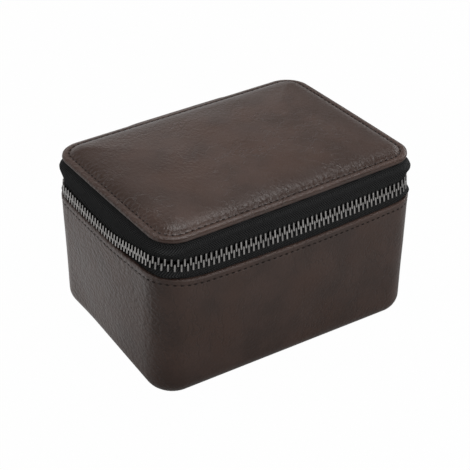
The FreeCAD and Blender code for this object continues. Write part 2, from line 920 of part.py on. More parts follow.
def make_slider_body():
    """Two plates joined by the wedge, with lips that leave a slot for the tape."""
    body = new_body("slider_body")
    inner_face = zip_line_y - channel_half
    outer_face = zip_line_y + channel_half
    add_slab(body, "slider_diamond", inner_face, outer_face, diamond_outline())
    add_slab(body, "slider_outer_plate", outer_face, plate_outside_y, plate_outline())
    add_slab(body, "slider_inner_plate", inner_face - size.slider_plate, inner_face, plate_outline())
    for name, side in (("upper", 1), ("lower", -1)):
        outline = flange_outline(side)
        add_slab(body, f"slider_{name}_outer_lip", zip_line_y + slot_half, outer_face, outline)
        add_slab(body, f"slider_{name}_inner_lip", inner_face, zip_line_y - slot_half, outline)
    finish_piece(body, "slider_body")


def make_slider_bail():
    """The arch on the slider that the link hangs from, along the slider's length."""
    name = "slider_bail"
    body = new_body(name)
    sketch = new_sketch(body, f"{name}_outline", "XY_Plane", zip_level - size.bail_width / 2)
    half_out = size.bail_span / 2
    half_in = half_out - size.bail_foot
    bar_inside_y = bail_outside_y - size.bail_wire
    slope = size.bail_wire
    upper = (
        (half_out, plate_outside_y),
        (half_out, bail_outside_y - slope),
        (half_out - slope, bail_outside_y),
    )
    inside = (
        (half_in, plate_outside_y),
        (half_in, bar_inside_y),
    )
    right = [(slider_middle_x + x, y) for x, y in upper]
    left = [(slider_middle_x - x, y) for x, y in reversed(upper)]
    under = [(slider_middle_x - x, y) for x, y in inside]
    back = [(slider_middle_x + x, y) for x, y in reversed(inside)]
    add_polygon(sketch, right + left + under + back)
    pad(body, sketch, size.bail_width)
    finish_piece(body, name)


# The link and the pull hang from the bail's bar

bar_radius = hypotenuse(size.bail_wire, size.bail_width) / 2
link_top_z = zip_level + bar_radius + size.link_play - link_inner_half
link_bottom_z = link_top_z - size.link_inner_length + link_inner_half * 2
pull_hole_z = link_bottom_z - link_inner_half - size.link_wire / 2 - size.layer_gap
pull_top_z = pull_hole_z + size.pull_edge_distance


def make_pull_link():
    """A closed link of round wire, in the plane across the slider."""
    x = slider_middle_x.value
    y = bail_bar_y.value
    radius = number(link_inner_half + size.link_wire / 2)
    top = link_top_z.value
    bottom = link_bottom_z.value
    front_top, back_top = Vector(x, y - radius, top), Vector(x, y + radius, top)
    front_bottom, back_bottom = Vector(x, y - radius, bottom), Vector(x, y + radius, bottom)
    path = Part.Wire(
        [
            Part.makeLine(front_bottom, front_top),
            Part.Arc(front_top, Vector(x, y, top + radius), back_top).toShape(),
            Part.makeLine(back_top, back_bottom),
            Part.Arc(back_bottom, Vector(x, y, bottom - radius), front_bottom).toShape(),
        ]
    )
    section = Part.Wire(Part.makeCircle(size.link_wire.value / 2, front_bottom, UP))
    shape_piece("pull_link", path.makePipeShell([section], True, False))


def make_pull_tab():
    """The leather pull, with the hole that its eyelet lines."""
    body = new_body("pull_tab")
    half = size.pull_width / 2
    tab = new_sketch(body, "pull_tab_outline", "XZ_Plane", -(bail_bar_y + pull_half_thick))
    tab.setExpression(".AttachmentOffset.Base.x", slider_middle_x.text)
    middle_z = pull_top_z - size.pull_length / 2
    add_rounded_outline(tab, "tab", half, size.pull_length / 2, size.pull_corner, middle_z)
    pad(body, tab, size.pull_thickness)
    hole = new_sketch(body, "pull_tab_hole", "XZ_Plane", -(bail_bar_y + pull_half_thick + size.overrun))
    radius = size.eyelet_bore + size.eyelet_wall + size.layer_gap
    add_circle(hole, "hole", slider_middle_x, pull_hole_z, radius)
    pocket(body, hole, size.pull_thickness + size.overrun * 2)
    finish_piece(body, "pull_tab")


def make_pull_eyelet():
    """The metal eyelet, with a rim on both faces of the leather."""
    body = new_body("pull_eyelet")
    rim_face = pull_half_thick + size.eyelet_rim_thickness
    barrel = size.eyelet_bore + size.eyelet_wall
    slabs = (
        ("back_rim", pull_half_thick, rim_face, barrel + size.eyelet_rim),
        ("barrel", -pull_half_thick, pull_half_thick, barrel),
        ("front_rim", -rim_face, -pull_half_thick, barrel + size.eyelet_rim),
    )
    for name, low, high, radius in slabs:
        disc = new_sketch(body, f"eyelet_{name}", "XZ_Plane", -(bail_bar_y + high))
        add_circle(disc, name, slider_middle_x, pull_hole_z, radius)
        pad(body, disc, high - low)
    bore = new_sketch(body, "eyelet_bore", "XZ_Plane", -(bail_bar_y + rim_face + size.overrun))
    add_circle(bore, "bore", slider_middle_x, pull_hole_z, size.eyelet_bore)
    pocket(body, bore, rim_face * 2 + size.overrun * 2)
    finish_piece(body, "pull_eyelet")


def make_all():
    """Every sub-part of the case."""
    make_base_wall_leather()
    make_base_bottom_leather()
    make_base_wall_board()
    make_base_floor_board()
    make_base_wall_lining()
    make_base_floor_lining()
    make_compartment_divider()
    make_watch_cushion("left", -1)
    make_watch_cushion("right", 1)
    make_zip_tape_lower()
    make_spine()
    make_lid_top_leather()
    make_lid_board()
    make_lid_crown_foam()
    make_lid_lining()
    make_zip_tape_upper()
    make_teeth("zip_teeth_lower", False)
    make_teeth("zip_teeth_upper", True)
    make_stops("zip_stops_lower", False)
    make_stops("zip_stops_upper", True)
    make_slider_body()
    make_slider_bail()
    make_pull_link()
    make_pull_tab()
    make_pull_eyelet()


def check_and_write():
    """Refuse a failed object or an empty shape, then write one file for each sub-part."""
    doc.recompute()
    for item in doc.Objects:
        if "Invalid" in item.State or "Error" in item.State:
            raise RuntimeError(f"{item.Name} failed: {item.State}")
    os.makedirs("parts", exist_ok=True)
    for piece in finished:
        if piece.Shape.isNull() or not piece.Shape.isValid():
            raise RuntimeError(f"{piece.Label} has no valid shape")
        piece.Shape.exportStep(f"parts/{piece.Label}.step")
        print(piece.Label, len(piece.Shape.Solids), round(piece.Shape.Volume, 1))


make_all()
check_and_write()
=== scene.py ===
import json
import math

import bmesh
import bpy
from bpy.props import FloatProperty, FloatVectorProperty, PointerProperty
from mathutils import Matrix, Vector, noise


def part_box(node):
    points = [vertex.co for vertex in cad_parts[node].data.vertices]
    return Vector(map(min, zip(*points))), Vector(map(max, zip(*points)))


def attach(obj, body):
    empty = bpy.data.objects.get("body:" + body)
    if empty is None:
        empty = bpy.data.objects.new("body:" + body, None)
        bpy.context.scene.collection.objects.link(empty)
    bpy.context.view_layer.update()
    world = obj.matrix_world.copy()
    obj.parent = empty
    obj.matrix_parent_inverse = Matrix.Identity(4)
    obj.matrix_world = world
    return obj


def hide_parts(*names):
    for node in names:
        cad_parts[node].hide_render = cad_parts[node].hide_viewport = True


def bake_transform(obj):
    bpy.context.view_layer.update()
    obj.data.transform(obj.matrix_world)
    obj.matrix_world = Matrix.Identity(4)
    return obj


bl_info = {
    "name": "Watch travel case",
    "version": (1, 0, 0),
    "blender": (4, 5, 0),
    "location": "3D View > Sidebar > Watch case",
    "description": "Dresses a zip-around watch case in leather, zip tape, metal and suede",
    "category": "Add Mesh",
}

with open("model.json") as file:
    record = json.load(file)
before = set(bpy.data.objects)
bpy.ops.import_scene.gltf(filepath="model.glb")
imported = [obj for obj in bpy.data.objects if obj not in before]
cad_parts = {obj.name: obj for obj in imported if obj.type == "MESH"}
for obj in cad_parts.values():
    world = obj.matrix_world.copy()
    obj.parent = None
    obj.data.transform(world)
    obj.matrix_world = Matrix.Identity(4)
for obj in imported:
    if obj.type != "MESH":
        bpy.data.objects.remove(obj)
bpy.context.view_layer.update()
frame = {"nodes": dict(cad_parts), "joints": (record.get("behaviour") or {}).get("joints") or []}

MM = 0.001
TURN = 2 * math.pi

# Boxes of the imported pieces, which the dressed ones follow
wall_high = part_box("base_wall_leather")[1]
lid_low, lid_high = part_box("lid_top_leather")
tape_low, tape_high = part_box("zip_tape_lower")
upper_low, upper_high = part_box("zip_tape_upper")
teeth_low, teeth_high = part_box("zip_teeth_lower")
upper_teeth_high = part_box("zip_teeth_upper")[1]
spine_low, spine_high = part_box("spine_leather")
backing_low, backing_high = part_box("spine_lining")
lining_low, lining_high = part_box("base_wall_lining")
floor_low, floor_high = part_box("base_floor_lining")
ceiling_low, ceiling_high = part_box("lid_lining")
panel_low, panel_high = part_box("base_bottom_leather")
board_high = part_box("lid_board")[1]
tab_low, tab_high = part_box("pull_tab")
eyelet_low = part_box("pull_eyelet")[0]
zip_level = (teeth_low.z + upper_teeth_high.z) / 2
hinge = next(joint for joint in frame["joints"] if joint["name"] == "lid_hinge")
hinge_point = Vector(hinge["pos_m"])
lid_rim = lid_high.z - 1.6 * MM  # top of the lid's rolled edge
spine_gap = backing_high.x  # half the stretch at the back where the zip's tapes end
near_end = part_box("zip_tape_upper_slider_end")[1].x  # end of the stretch that the slider holds
LINING_SKIN = 1.0 * MM
RING_STEP = 2 * MM  # length of a ring's faces along the case
TOOTH_THINNING, TOOTH_HEIGHT = 0.2, 0.9  # what a tooth loses along the zip, and keeps of its height


def length(name, millimetres, description):
    """A size that a maker can change."""
    return FloatProperty(name=name, description=description, default=millimetres * MM, unit="LENGTH")


def dye(name, default, description):
    """A colour that a maker can change."""
    return FloatVectorProperty(
        name=name, description=description, default=default, subtype="COLOR", min=0, max=1
    )


class CaseSizes(bpy.types.PropertyGroup):
    """Sizes of the case's leather, stitching and zip that a maker would change."""

    wall_corner: length("Wall corner", 12, "Corner radius of the base, over its leather")
    wall_round: length("Bottom round", 7, "Radius with which the wall's leather turns under the base")
    wall_leather: length("Wall leather", 1.4, "Thickness of the wall's leather")
    wall_turn_under: length("Turned under", 12, "How far the wall's leather runs in under the base")
    wall_bulge: length("Wall bulge", 0.7, "How far the middle of each wall stands out")
    lid_corner: length("Lid corner", 10.5, "Corner radius of the lid, over its leather")
    lid_crown: length("Lid crown", 2.3, "How far the padding lifts the middle of the lid")
    lid_step: length("Lid step", 1.2, "How steeply the padding rises next to the lid's seam")
    lid_roll: length("Lid roll", 1.25, "Height of the lid's rolled upper edge")
    lid_seam: length("Lid seam", 2.9, "Distance of the lid's stitching from its edge")
    wall_seam: length("Wall seam", 2.6, "Depth of the base's stitching below its edge")
    stitch_pitch: length("Stitch pitch", 2.64, "Distance from one stitch to the next")
    stitch_length: length("Stitch length", 1.4, "Visible length of one stitch")
    thread: length("Thread", 0.55, "Thickness of the thread")
    tape: length("Tape", 0.7, "Thickness of the zip's tape")
    tape_flare: length("Tape flare", 1.0, "How far the upper tape bellies out between the lid and the teeth")
    zip_sag: length("Zip sag", 4.4, "How much lower the zip lies along the left side")
    zip_rise: length(
        "Zip rise", 1.2, "How much higher the zip lies round the corner of the front and the left side"
    )
    edge_rise: length("Edge rise", 0.7, "How much higher the base's leather reaches along the front")
    edge_bulge: length(
        "Edge bulge", 2.2, "How far the middle of the front stands out at the base's upper edge"
    )
    edge_sag: length("Edge sag", 0.4, "How far the base's upper edge sinks in the middle of the front")
    base_twist: FloatProperty(
        name="Base twist", description="Turn of the base's underside against its upper edge",
        default=math.radians(-1.3), subtype="ANGLE",
    )
    lid_twist: FloatProperty(
        name="Lid twist", description="Turn of the lid against the base's upper edge",
        default=math.radians(1.1), subtype="ANGLE",
    )
    lid_tilt: FloatProperty(
        name="Lid tilt", description="How far the lid leans back, as a slope", default=0.008
    )
    lid_tuck: FloatProperty(
        name="Lid tuck", description="How much less deep the lid is drawn than the base's edge, as a share",
        default=0.033,
    )


class CaseColours(bpy.types.PropertyGroup):
    """Colours of the case's materials."""

    leather: dye("Leather", (0.062, 0.0335, 0.0245), "Colour of the case's leather")
    thread: dye("Thread", (0.012, 0.006, 0.0045), "Colour of the stitching")
    tape: dye("Tape", (0.038, 0.0385, 0.039), "Colour of the zip's tape")
    metal: dye("Metal", (0.34, 0.33, 0.32), "Colour of the zip's teeth and slider")
    lining: dye("Lining", (0.20, 0.15, 0.12), "Colour of the suede lining")
    cushion: dye("Cushions", (0.24, 0.18, 0.14), "Colour of the watch cushions")


def sizes():
    return bpy.context.scene.watch_case_sizes


def colours():
    return bpy.context.scene.watch_case_colours


# The case's outlines


class Outline:
    """A rounded rectangle round the middle of the case, measured from the middle of its back."""

    def __init__(self, half_x, half_y, corner):
        self.half_x = half_x
        self.half_y = half_y
        self.corner = corner

    def inside(self, inset):
        """The outline that runs at a distance inside this one."""
        return Outline(self.half_x - inset, self.half_y - inset, self.corner - inset)

    def legs(self):
        """Its five straight stretches: start, heading and length, going round by the right."""
        across = self.half_x - self.corner
        deep = self.half_y - self.corner
        return (
            (Vector((0, self.half_y)), 0, across),
            (Vector((self.half_x, deep)), -TURN / 4, 2 * deep),
            (Vector((across, -self.half_y)), -TURN / 2, 2 * across),
            (Vector((-self.half_x, -deep)), -TURN * 3 / 4, 2 * deep),
            (Vector((-across, self.half_y)), -TURN, across),
        )

    def length(self):
        return sum(leg[2] for leg in self.legs()) + TURN * self.corner

    def place(self, distance):
        """The point at a distance along the outline, and the heading there."""
        quarter = self.corner * TURN / 4
        for start, heading, length in self.legs():
            ahead = Vector((math.cos(heading), math.sin(heading)))
            if distance <= length:
                return start + ahead * distance, heading
            distance -= length
            if distance < quarter:
                turned = heading - distance / self.corner
                centre = start + ahead * length + Vector((ahead.y, -ahead.x)) * self.corner
                return centre + Vector((-math.sin(turned), math.cos(turned))) * self.corner, turned
            distance -= quarter
        return self.place(distance)

    def reach(self, x, y):
        """How far a place lies past the ends of the straight stretches, across and in depth."""
        beyond = abs(x) - self.half_x + self.corner, abs(y) - self.half_y + self.corner
        return Vector([max(part, 0) for part in beyond])

    def normal(self, x, y):
        """The outward direction at the outline's nearest point."""
        reach = self.reach(x, y)
        if reach.length < 1e-9:
            reach = Vector((0, 1))
        reach.normalize()
        return Vector((math.copysign(reach.x, x), math.copysign(reach.y, y)))

    def along(self, x, y):
        """The distance along the outline of its point nearest to a place."""
        out = self.normal(x, y)
        turned = math.atan2(out.x, out.y) % TURN
        corners = round(turned / (TURN / 4) - 0.5) if out.x and out.y else round(turned / (TURN / 4))
        across = self.half_x - self.corner
        deep = self.half_y - self.corner
        x = min(max(x, -across), across)
        y = min(max(y, -deep), deep)
        straights = (x, across + deep - y, across + 2 * deep + across - x, 3 * across + 2 * deep + deep + y)
        ends = (across, across + 2 * deep, 3 * across + 2 * deep, 3 * across + 4 * deep)
        if out.x and out.y:
            return ends[corners] + turned * self.corner
        side = corners % 4
        whole = 4 * across + 4 * deep + TURN * self.corner
        return (straights[side] + side * self.corner * TURN / 4) % whole


def wall_outline():
    return Outline(wall_high.x, wall_high.y, sizes().wall_corner)


def lid_outline():
    return Outline(lid_high.x, lid_high.y, sizes().lid_corner)


def tape_outline():
    """The outer face of the zip's tapes, which follow the wall's corners."""
    return wall_outline().inside(wall_high.x - tape_high.x)


def zip_outline():
    """The line along which the teeth sit."""
    return tape_outline().inside(sizes().tape / 2)


def smooth(value, start, end):
    """Rises gently from 0 at start to 1 at end."""
    share = min(max((value - start) / (end - start), 0), 1)
    return share * share * (3 - 2 * share)


# Where the used case's zip and edge rise and sag along the front, as shares of half its length
ZIP_RISES = (0.6, 0.98)
ZIP_SAGS = (0.57, 0.9)
EDGE_RISES = (0.68, 0.95)
CORNER_RISE, BACK_SAG = 2.1, 1.4  # how much more the edge rises and sags there, by its rise


def going_back(y):
    """0 at the front and 1 from the middle of the sides on."""
    return smooth(y, -wall_high.y * 0.96, 0)


def zip_lift(x, y):
    """How much higher the zip lies here: it rises towards the front's left end and then sags
    along the left side."""
    back = going_back(y)
    near = smooth(-x / wall_high.x, *ZIP_RISES)
    left = smooth(-x / wall_high.x, *ZIP_SAGS)
    return sizes().zip_rise * near * (1 - back) - sizes().zip_sag * left * back


def edge_lift(x, y):
    """How much higher the base's upper edge lies here: along the front, most at its left end."""
    near = smooth(-x / wall_high.x, *EDGE_RISES)
    far = near * smooth(y, 0, wall_high.y * 0.7)
    return sizes().edge_rise * ((1 + CORNER_RISE * near) * (1 - going_back(y)) - BACK_SAG * far)


def slump(point):
    """Where a point of the new case comes to lie in the used one: its walls bulge and twist a
    little below the lid, while the back keeps its place round the slider."""
    s = sizes()
    rise = smooth(point.z, 0, wall_high.z)
    over = smooth(point.z, wall_high.z, lid_low.z)
    front = 1 - smooth(point.y, wall_high.y * 0.2, wall_high.y * 0.8)
    turn = (s.base_twist * (1 - rise) + s.lid_twist * over) * (front + (1 - front) * over)
    x = point.x * math.cos(turn) - point.y * math.sin(turn)
    y = point.x * math.sin(turn) + point.y * math.cos(turn)
    swell = s.edge_bulge * rise * (1 - 0.75 * over)
    share_x, share_y = point.x / wall_high.x, point.y / wall_high.y
    middle_x, middle_y = max(1 - share_x**2, 0), max(1 - share_y**2, 0)
    ahead = max(-share_y, 0) ** 3 * middle_x
    x += swell * 0.6 * share_x**3 * middle_y
    y = (y - swell * ahead) * (1 - s.lid_tuck * over)
    upper = smooth(point.z, wall_high.z * 0.5, wall_high.z) * (1 - smooth(point.z, wall_high.z, teeth_low.z))
    lift = edge_lift(point.x, point.y) * upper - s.edge_sag * ahead * rise * (1 - over)
    return Vector((x, y, point.z + lift - s.lid_tilt * point.y * over))


# Modelling with the usual edit operators


def clear_selection():
    if bpy.context.object and bpy.context.object.mode != "OBJECT":
        bpy.ops.object.mode_set(mode="OBJECT")
    bpy.ops.object.select_all(action="DESELECT")


def activate(piece):
    clear_selection()
    piece.hide_viewport = False
    piece.select_set(True)
    bpy.context.view_layer.objects.active = piece


def edit(piece):
    activate(piece)
    bpy.ops.object.mode_set(mode="EDIT")
    select_all()


def leave_edit():
    bpy.ops.object.mode_set(mode="OBJECT")


def new_shape(kind, scale, **settings):
    """A new primitive, left in edit mode and resized there."""
    clear_selection()
    getattr(bpy.ops.mesh, f"primitive_{kind}_add")(**settings)
    edit(bpy.context.object)
    bpy.ops.transform.resize(value=scale)


def named(piece, name):
    """Name a piece and its mesh alike."""
    piece.name = piece.data.name = name
    return piece


def finish_edit(name):
    """Leave edit mode and name the piece."""
    leave_edit()
    return named(bpy.context.object, name)


def select_where(kind, test):
    """Select the edited piece's faces or edges that pass a test."""
    bpy.ops.mesh.select_all(action="DESELECT")
    bpy.ops.mesh.select_mode(type=kind)
    mesh = bmesh.from_edit_mesh(bpy.context.object.data)
    for part in mesh.faces if kind == "FACE" else mesh.edges:
        part.select_set(test(part))
    bmesh.update_edit_mesh(bpy.context.object.data)


def select_all():
    bpy.ops.mesh.select_all(action="SELECT")


def apply_modifier(piece, kind, **settings):
    """Add a modifier with its settings and apply it."""
    activate(piece)
    modifier = piece.modifiers.new(kind.lower(), kind)
    for setting, value in settings.items():
        setattr(modifier, setting, value)
    bpy.ops.object.modifier_apply(modifier=modifier.name)
    return piece


def round_edges(piece, width, segments, angle):
    """Round off the edges at which a piece turns by more than an angle."""
    return apply_modifier(
        piece, "BEVEL", width=width, segments=segments, limit_method="ANGLE", angle_limit=math.radians(angle)
    )


def shade(piece, angle=40):
    """Smooth shading with sharp edges kept."""
    activate(piece)
    bpy.ops.object.shade_smooth_by_angle(angle=math.radians(angle))
    return piece


def turn_faces_out(piece):
    edit(piece)
    bpy.ops.mesh.remove_doubles(threshold=0.002 * MM)
    bpy.ops.mesh.normals_make_consistent(inside=False)
    leave_edit()
    return piece


def move_points(piece, place):
    """Move each vertex to where a function of its place puts it."""
    for vertex in piece.data.vertices:
        vertex.co = place(vertex.co)
    piece.data.update()
    return piece


def store(piece, name, values):
    """Keep one number for each vertex, for a material to read."""
    attribute = piece.data.attributes.new(name, "FLOAT", "POINT")
    attribute.data.foreach_set("value", values)


def store_along(piece, outline):
    store(piece, "along", [outline.along(v.co.x, v.co.y) / MM for v in piece.data.vertices])


def face_on(outline, segments):
    """A flat face with the outline's shape, left in edit mode."""
    new_shape("plane", (outline.half_x, outline.half_y, 1), size=2)
    bpy.ops.mesh.bevel(offset=outline.corner, segments=segments, affect="VERTICES")


def swept_ring(name, outline, profile, step):
    """A ring round the case: its outline is raised one course for each knot of the profile,
    and each course then takes its knot's inset and level."""
    face_on(outline, 14)
    straight = outline.half_y - outline.corner
    select_where("EDGE", lambda edge: edge.calc_length() > straight)
    bpy.ops.mesh.subdivide(number_cuts=int(2 * straight / step))
    select_all()
    bpy.ops.mesh.delete(type="ONLY_FACE")
    select_all()
    for _ in profile[1:]:
        bpy.ops.mesh.extrude_region_move(TRANSFORM_OT_translate={"value": (0, 0, 1)})
    piece = finish_edit(name)
    knots = [round(vertex.co.z) for vertex in piece.data.vertices]
    travel = [0.0]
    for (inset, level), (next_inset, next_level) in zip(profile, profile[1:]):
        travel.append(travel[-1] + math.hypot(next_inset - inset, next_level - level))
    store_along(piece, outline)
    store(piece, "across", [travel[knot] / MM for knot in knots])

    def place(point):
        inset, level = profile[round(point.z)]
        out = outline.normal(point.x, point.y)
        return Vector((point.x - out.x * inset, point.y - out.y * inset, level))

    return turn_faces_out(move_points(piece, place))


def cut_at_spine(piece):
    """Take away a ring's stretch across the back and fill the ends that this leaves."""
    edit(piece)
    for side in (-1, 1):
        slice_at(0, side * spine_gap)

    def in_gap(face):
        middle = face.calc_center_median()
        return abs(middle.x) < spine_gap and middle.y > 0

    select_where("FACE", in_gap)
    bpy.ops.mesh.delete(type="FACE")
    leave_edit()
    close_ends(piece)


def plate(name, low, high, corner, edge_round):
    """A plate that fills a packed box, with rounded corners and softened edges."""
    face_on(Outline(high.x, high.y, corner), 12)
    bpy.ops.transform.translate(value=(0, 0, low.z))
    bpy.ops.mesh.extrude_region_move(TRANSFORM_OT_translate={"value": (0, 0, high.z - low.z)})
    return round_edges(turn_faces_out(finish_edit(name)), edge_round, 3, 50)


def packed_shape(name, node):
    """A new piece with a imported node's shape."""
    clear_selection()
    piece = bpy.data.objects.new(name, frame["nodes"][node].data.copy())
    bpy.context.scene.collection.objects.link(piece)
    return named(piece, name)


def softened_copy(name, node, width, segments):
    """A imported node's shape with its sharp edges rounded off."""
    piece = packed_shape(name, node)
    edit(piece)
    bpy.ops.mesh.remove_doubles(threshold=0.001 * MM)
    bpy.ops.mesh.dissolve_limited(angle_limit=math.radians(1))
    leave_edit()
    return round_edges(piece, width, segments, 35)


def cut_in_courses(piece, step):
    """Cut a piece's large faces along a grid, so that it can bulge."""
    edit(piece)
    for axis, levels in enumerate(list(zip(*piece.bound_box))):
        for level in evenly(min(levels), max(levels), step)[1:-1]:
            slice_at(axis, level)
    leave_edit()
    return piece


def slice_at(axis, level):
    """Cut all of the edited piece at a level on one axis."""
    normal = [float(axis == other) for other in range(3)]
    select_all()
    bpy.ops.mesh.bisect(plane_co=[level * part for part in normal], plane_no=normal)


def put_on(data, material):
    """Make a material a mesh's only one."""
    data.materials.clear()
    data.materials.append(material)


def settle(piece, kind, body, nodes=()):
    """Give a finished piece its settled shape, its covering and its body, and hide the nodes it stands for.
    """
    material, slot = covering(kind)
    if body not in ("slider", "pull"):
        move_points(piece, slump)
    put_on(piece.data, material)
    if nodes:
        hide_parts(*nodes)
    if body:
        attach(piece, body)


def hinge_cloth(piece):
    """Bake a piece's placement into its mesh."""
    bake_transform(piece)


# Materials


class Wire:
    """A socket of a material's nodes, which Python expressions can work with."""

    def __init__(self, recipe, socket):
        self.recipe = recipe
        self.socket = socket

    def maths(self, operation, *values):
        inputs = dict(enumerate((self, *values)))
        return self.recipe.node("Math", {"operation": operation}, inputs)

    def __add__(self, other):
        return self.maths("ADD", other)

    __radd__ = __add__

    def __sub__(self, other):
        return self.maths("SUBTRACT", other)

    def __rsub__(self, other):
        return self.recipe.node("Math", {"operation": "SUBTRACT"}, {0: other, 1: self})

    def __mul__(self, other):
        return self.maths("MULTIPLY", other)

    __rmul__ = __mul__

    def sine(self):
        return self.maths("SINE")

    def size(self):
        return self.maths("ABSOLUTE")

    def zigzag(self, width):
        return self.maths("PINGPONG", width)

    def ramp(self, start, end):
        """0 at start and 1 at end, smoothly."""
        inputs = {"Value": self, "From Min": start, "From Max": end, "To Min": 0.0, "To Max": 1.0}
        return self.recipe.node("MapRange", {"interpolation_type": "SMOOTHSTEP"}, inputs)


class Recipe:
    """A material, or the world, that is put together node by node."""

    def __init__(self, name, library="materials"):
        self.material = getattr(bpy.data, library).new(name)
        self.material.use_nodes = True
        self.tree = self.material.node_tree
        self.tree.nodes.clear()

    def node(self, kind, settings=None, inputs=None, output=0):
        """Add a node: its settings first, then the values or links of its sockets."""
        made = self.tree.nodes.new(f"ShaderNode{kind}")
        for setting, value in (settings or {}).items():
            setattr(made, setting, value)
        for key, value in (inputs or {}).items():
            if isinstance(value, Wire):
                self.tree.links.new(value.socket, made.inputs[key])
            else:
                made.inputs[key].default_value = value
        return Wire(self, made.outputs[output])

    def place(self):
        """The object's own coordinates in millimetres."""
        position = self.node("TexCoord", output="Object")
        return self.node("VectorMath", {"operation": "SCALE"}, {0: position, "Scale": 1 / MM})

    def stretched(self, place, scale):
        return self.node("Mapping", {"vector_type": "POINT"}, {"Vector": place, "Scale": scale})

    def axes(self, place, axis):
        return self.node("SeparateXYZ", inputs={0: place}, output=axis)

    def attribute(self, name):
        return self.node("Attribute", {"attribute_name": name}, output="Fac")

    def cloud(self, place, scale, detail=2.0, roughness=0.5):
        inputs = {"Vector": place, "Scale": scale, "Detail": detail, "Roughness": roughness}
        return self.node("TexNoise", inputs=inputs)

    def cells(self, place, scale):
        inputs = {"Vector": place, "Scale": scale}
        return self.node("TexVoronoi", {"feature": "SMOOTH_F1"}, inputs, output="Distance")

    def blend(self, share, first, second):
        """From one colour to the other as the share goes from 0 to 1."""
        inputs = {0: share, 6: first, 7: second}
        return self.node("Mix", {"data_type": "RGBA"}, inputs, output=2)

    def finish(self, colour, roughness, height, **constants):
        """The surface shader: what varies comes from wires, the height in millimetres, and what
        is constant is set on its socket."""
        inputs = {"Base Color": colour, "Roughness": roughness}
        inputs.update({name.replace("_", " "): value for name, value in constants.items()})
        bump = {"Height": height, "Distance": MM, "Strength": 1.0}
        inputs["Normal"] = self.node("Bump", inputs=bump)
        shader = self.node("BsdfPrincipled", inputs=inputs)
        self.sink("OutputMaterial", shader)
        return self.material

    def sink(self, kind, shader):
        """Lead the shader into the output node."""
        made = self.tree.nodes.new(f"ShaderNode{kind}")
        self.tree.links.new(shader.socket, made.inputs["Surface"])


def tone(colour, factor, warmth=0.0):
    """A colour made lighter or darker, and a little redder."""
    red, green, blue = colour
    return (red * factor * (1 + warmth), green * factor, blue * factor * (1 - warmth), 1)


def leather_material(name, grain=1.0):
    """Dark brown leather: soft pebbles, fine pores, creases and a mottled dye, with painted shade on the
    lid's slopes, darker creases and painted highlights on the rolled edges.
    """
    recipe = Recipe(name)
    place = recipe.place()
    inputs = {"Vector": place, "Scale": 0.35, "Detail": 1.0}
    drift = recipe.node("TexNoise", inputs=inputs, output="Color")
    bent = recipe.node("VectorMath", {"operation": "SCALE"}, {0: drift, "Scale": 1.6})
    pulled = recipe.node("VectorMath", {"operation": "ADD"}, {0: place, 1: bent})
    slanted = recipe.node(
        "Mapping", inputs={"Vector": pulled, "Rotation": (0.5, 0.9, 0.3), "Scale": (1.0, 0.62, 0.8)}
    )
    pebbles = recipe.cells(slanted, 0.95)
    pores = recipe.cloud(place, 2.6, 3.0, 0.6)
    coarse = recipe.cloud(place, 0.055, 2.0)
    left = (0.0 - recipe.axes(place, 0)).ramp(52.0, 59.5)
    patches = coarse.ramp(0.42, 0.62)
    pebbly = (left * 0.95 + patches * 0.35 + 0.24) * grain
    folds = recipe.cloud(recipe.stretched(pulled, (0.9, 0.9, 0.35)), 0.16, 3.0, 0.55)
    crease = 1.0 - (folds - 0.5).size().ramp(0.0, 0.03)
    creased = crease * recipe.cloud(place, 0.03, 1.0).ramp(0.45, 0.6)
    inset = recipe.attribute("inset")
    depth = recipe.axes(place, 1)
    near_seam = inset.ramp(2.9, 3.6) * (1.0 - inset.ramp(4.0, 8.0)) * (1.0 - depth.ramp(28.0, 36.0))
    drawn = recipe.cloud(pulled, 0.3, 2.0) * 9.0
    puckers = (recipe.attribute("along") * (TURN / (sizes().stitch_pitch / MM)) + drawn).sine() * near_seam
    height = pebbles * pebbly * 0.30 + pores * 0.09 - creased * 0.09 + puckers * 0.03
    mottle = recipe.cloud(pulled, 0.075, 3.0, 0.55)
    base = colours().leather
    dark, light = tone(base, 0.78, 0.02), tone(base, 1.2, -0.02)
    ruddy = tone(base, 1.0, 0.12)
    dyed = recipe.blend(mottle.ramp(0.32, 0.68), dark, light)
    warm = recipe.blend(recipe.cloud(place, 0.045, 1.0).ramp(0.5, 0.68) * 0.6, dyed, ruddy)
    # Painted shade: the padded lid's slopes next to its seam are painted darker and redder, except towards
    # the near left corner, which is left lighter as a painted highlight.
    painted_corner_highlight = (0.0 - recipe.axes(place, 0)).ramp(20.0, 52.0) * (0.0 - depth).ramp(8.0, 36.0)
    slope = inset.ramp(1.0, 3.2) * (1.0 - inset.ramp(3.2, 21.0)) * (1.0 - painted_corner_highlight)
    slope_painted_shade = recipe.blend(slope * 0.85, warm, tone(base, 0.58, 0.1))
    # The creases are coloured darker.
    crease_darkened = recipe.blend(creased * 0.35, slope_painted_shade, tone(base, 0.6))
    # Where the edge attribute is set, the rolled edges are painted paler and greyer: a painted highlight,
    # and on the base's top edge partly its raw edge.
    raw_edge_and_highlight = recipe.blend(recipe.attribute("edge") * 0.8, crease_darkened, tone(base, 1.5, -0.12))
    roughness = pores * 0.14 + mottle * 0.12 + left * 0.04 + 0.24
    return recipe.finish(raw_edge_and_highlight, roughness, height, Specular_IOR_Level=0.4)


def thread_material(name):
    recipe = Recipe(name)
    place = recipe.place()
    lay = (recipe.axes(place, 0) * 9.0 + recipe.axes(place, 1) * 9.0 + recipe.axes(place, 2) * 7.0).sine()
    fuzz = recipe.cloud(place, 6.0)
    base = colours().thread
    colour = recipe.blend(fuzz, tone(base, 0.7), tone(base, 1.5))
    return recipe.finish(colour, fuzz * 0.2 + 0.4, lay * 0.05 + fuzz * 0.03, Specular_IOR_Level=0.3)


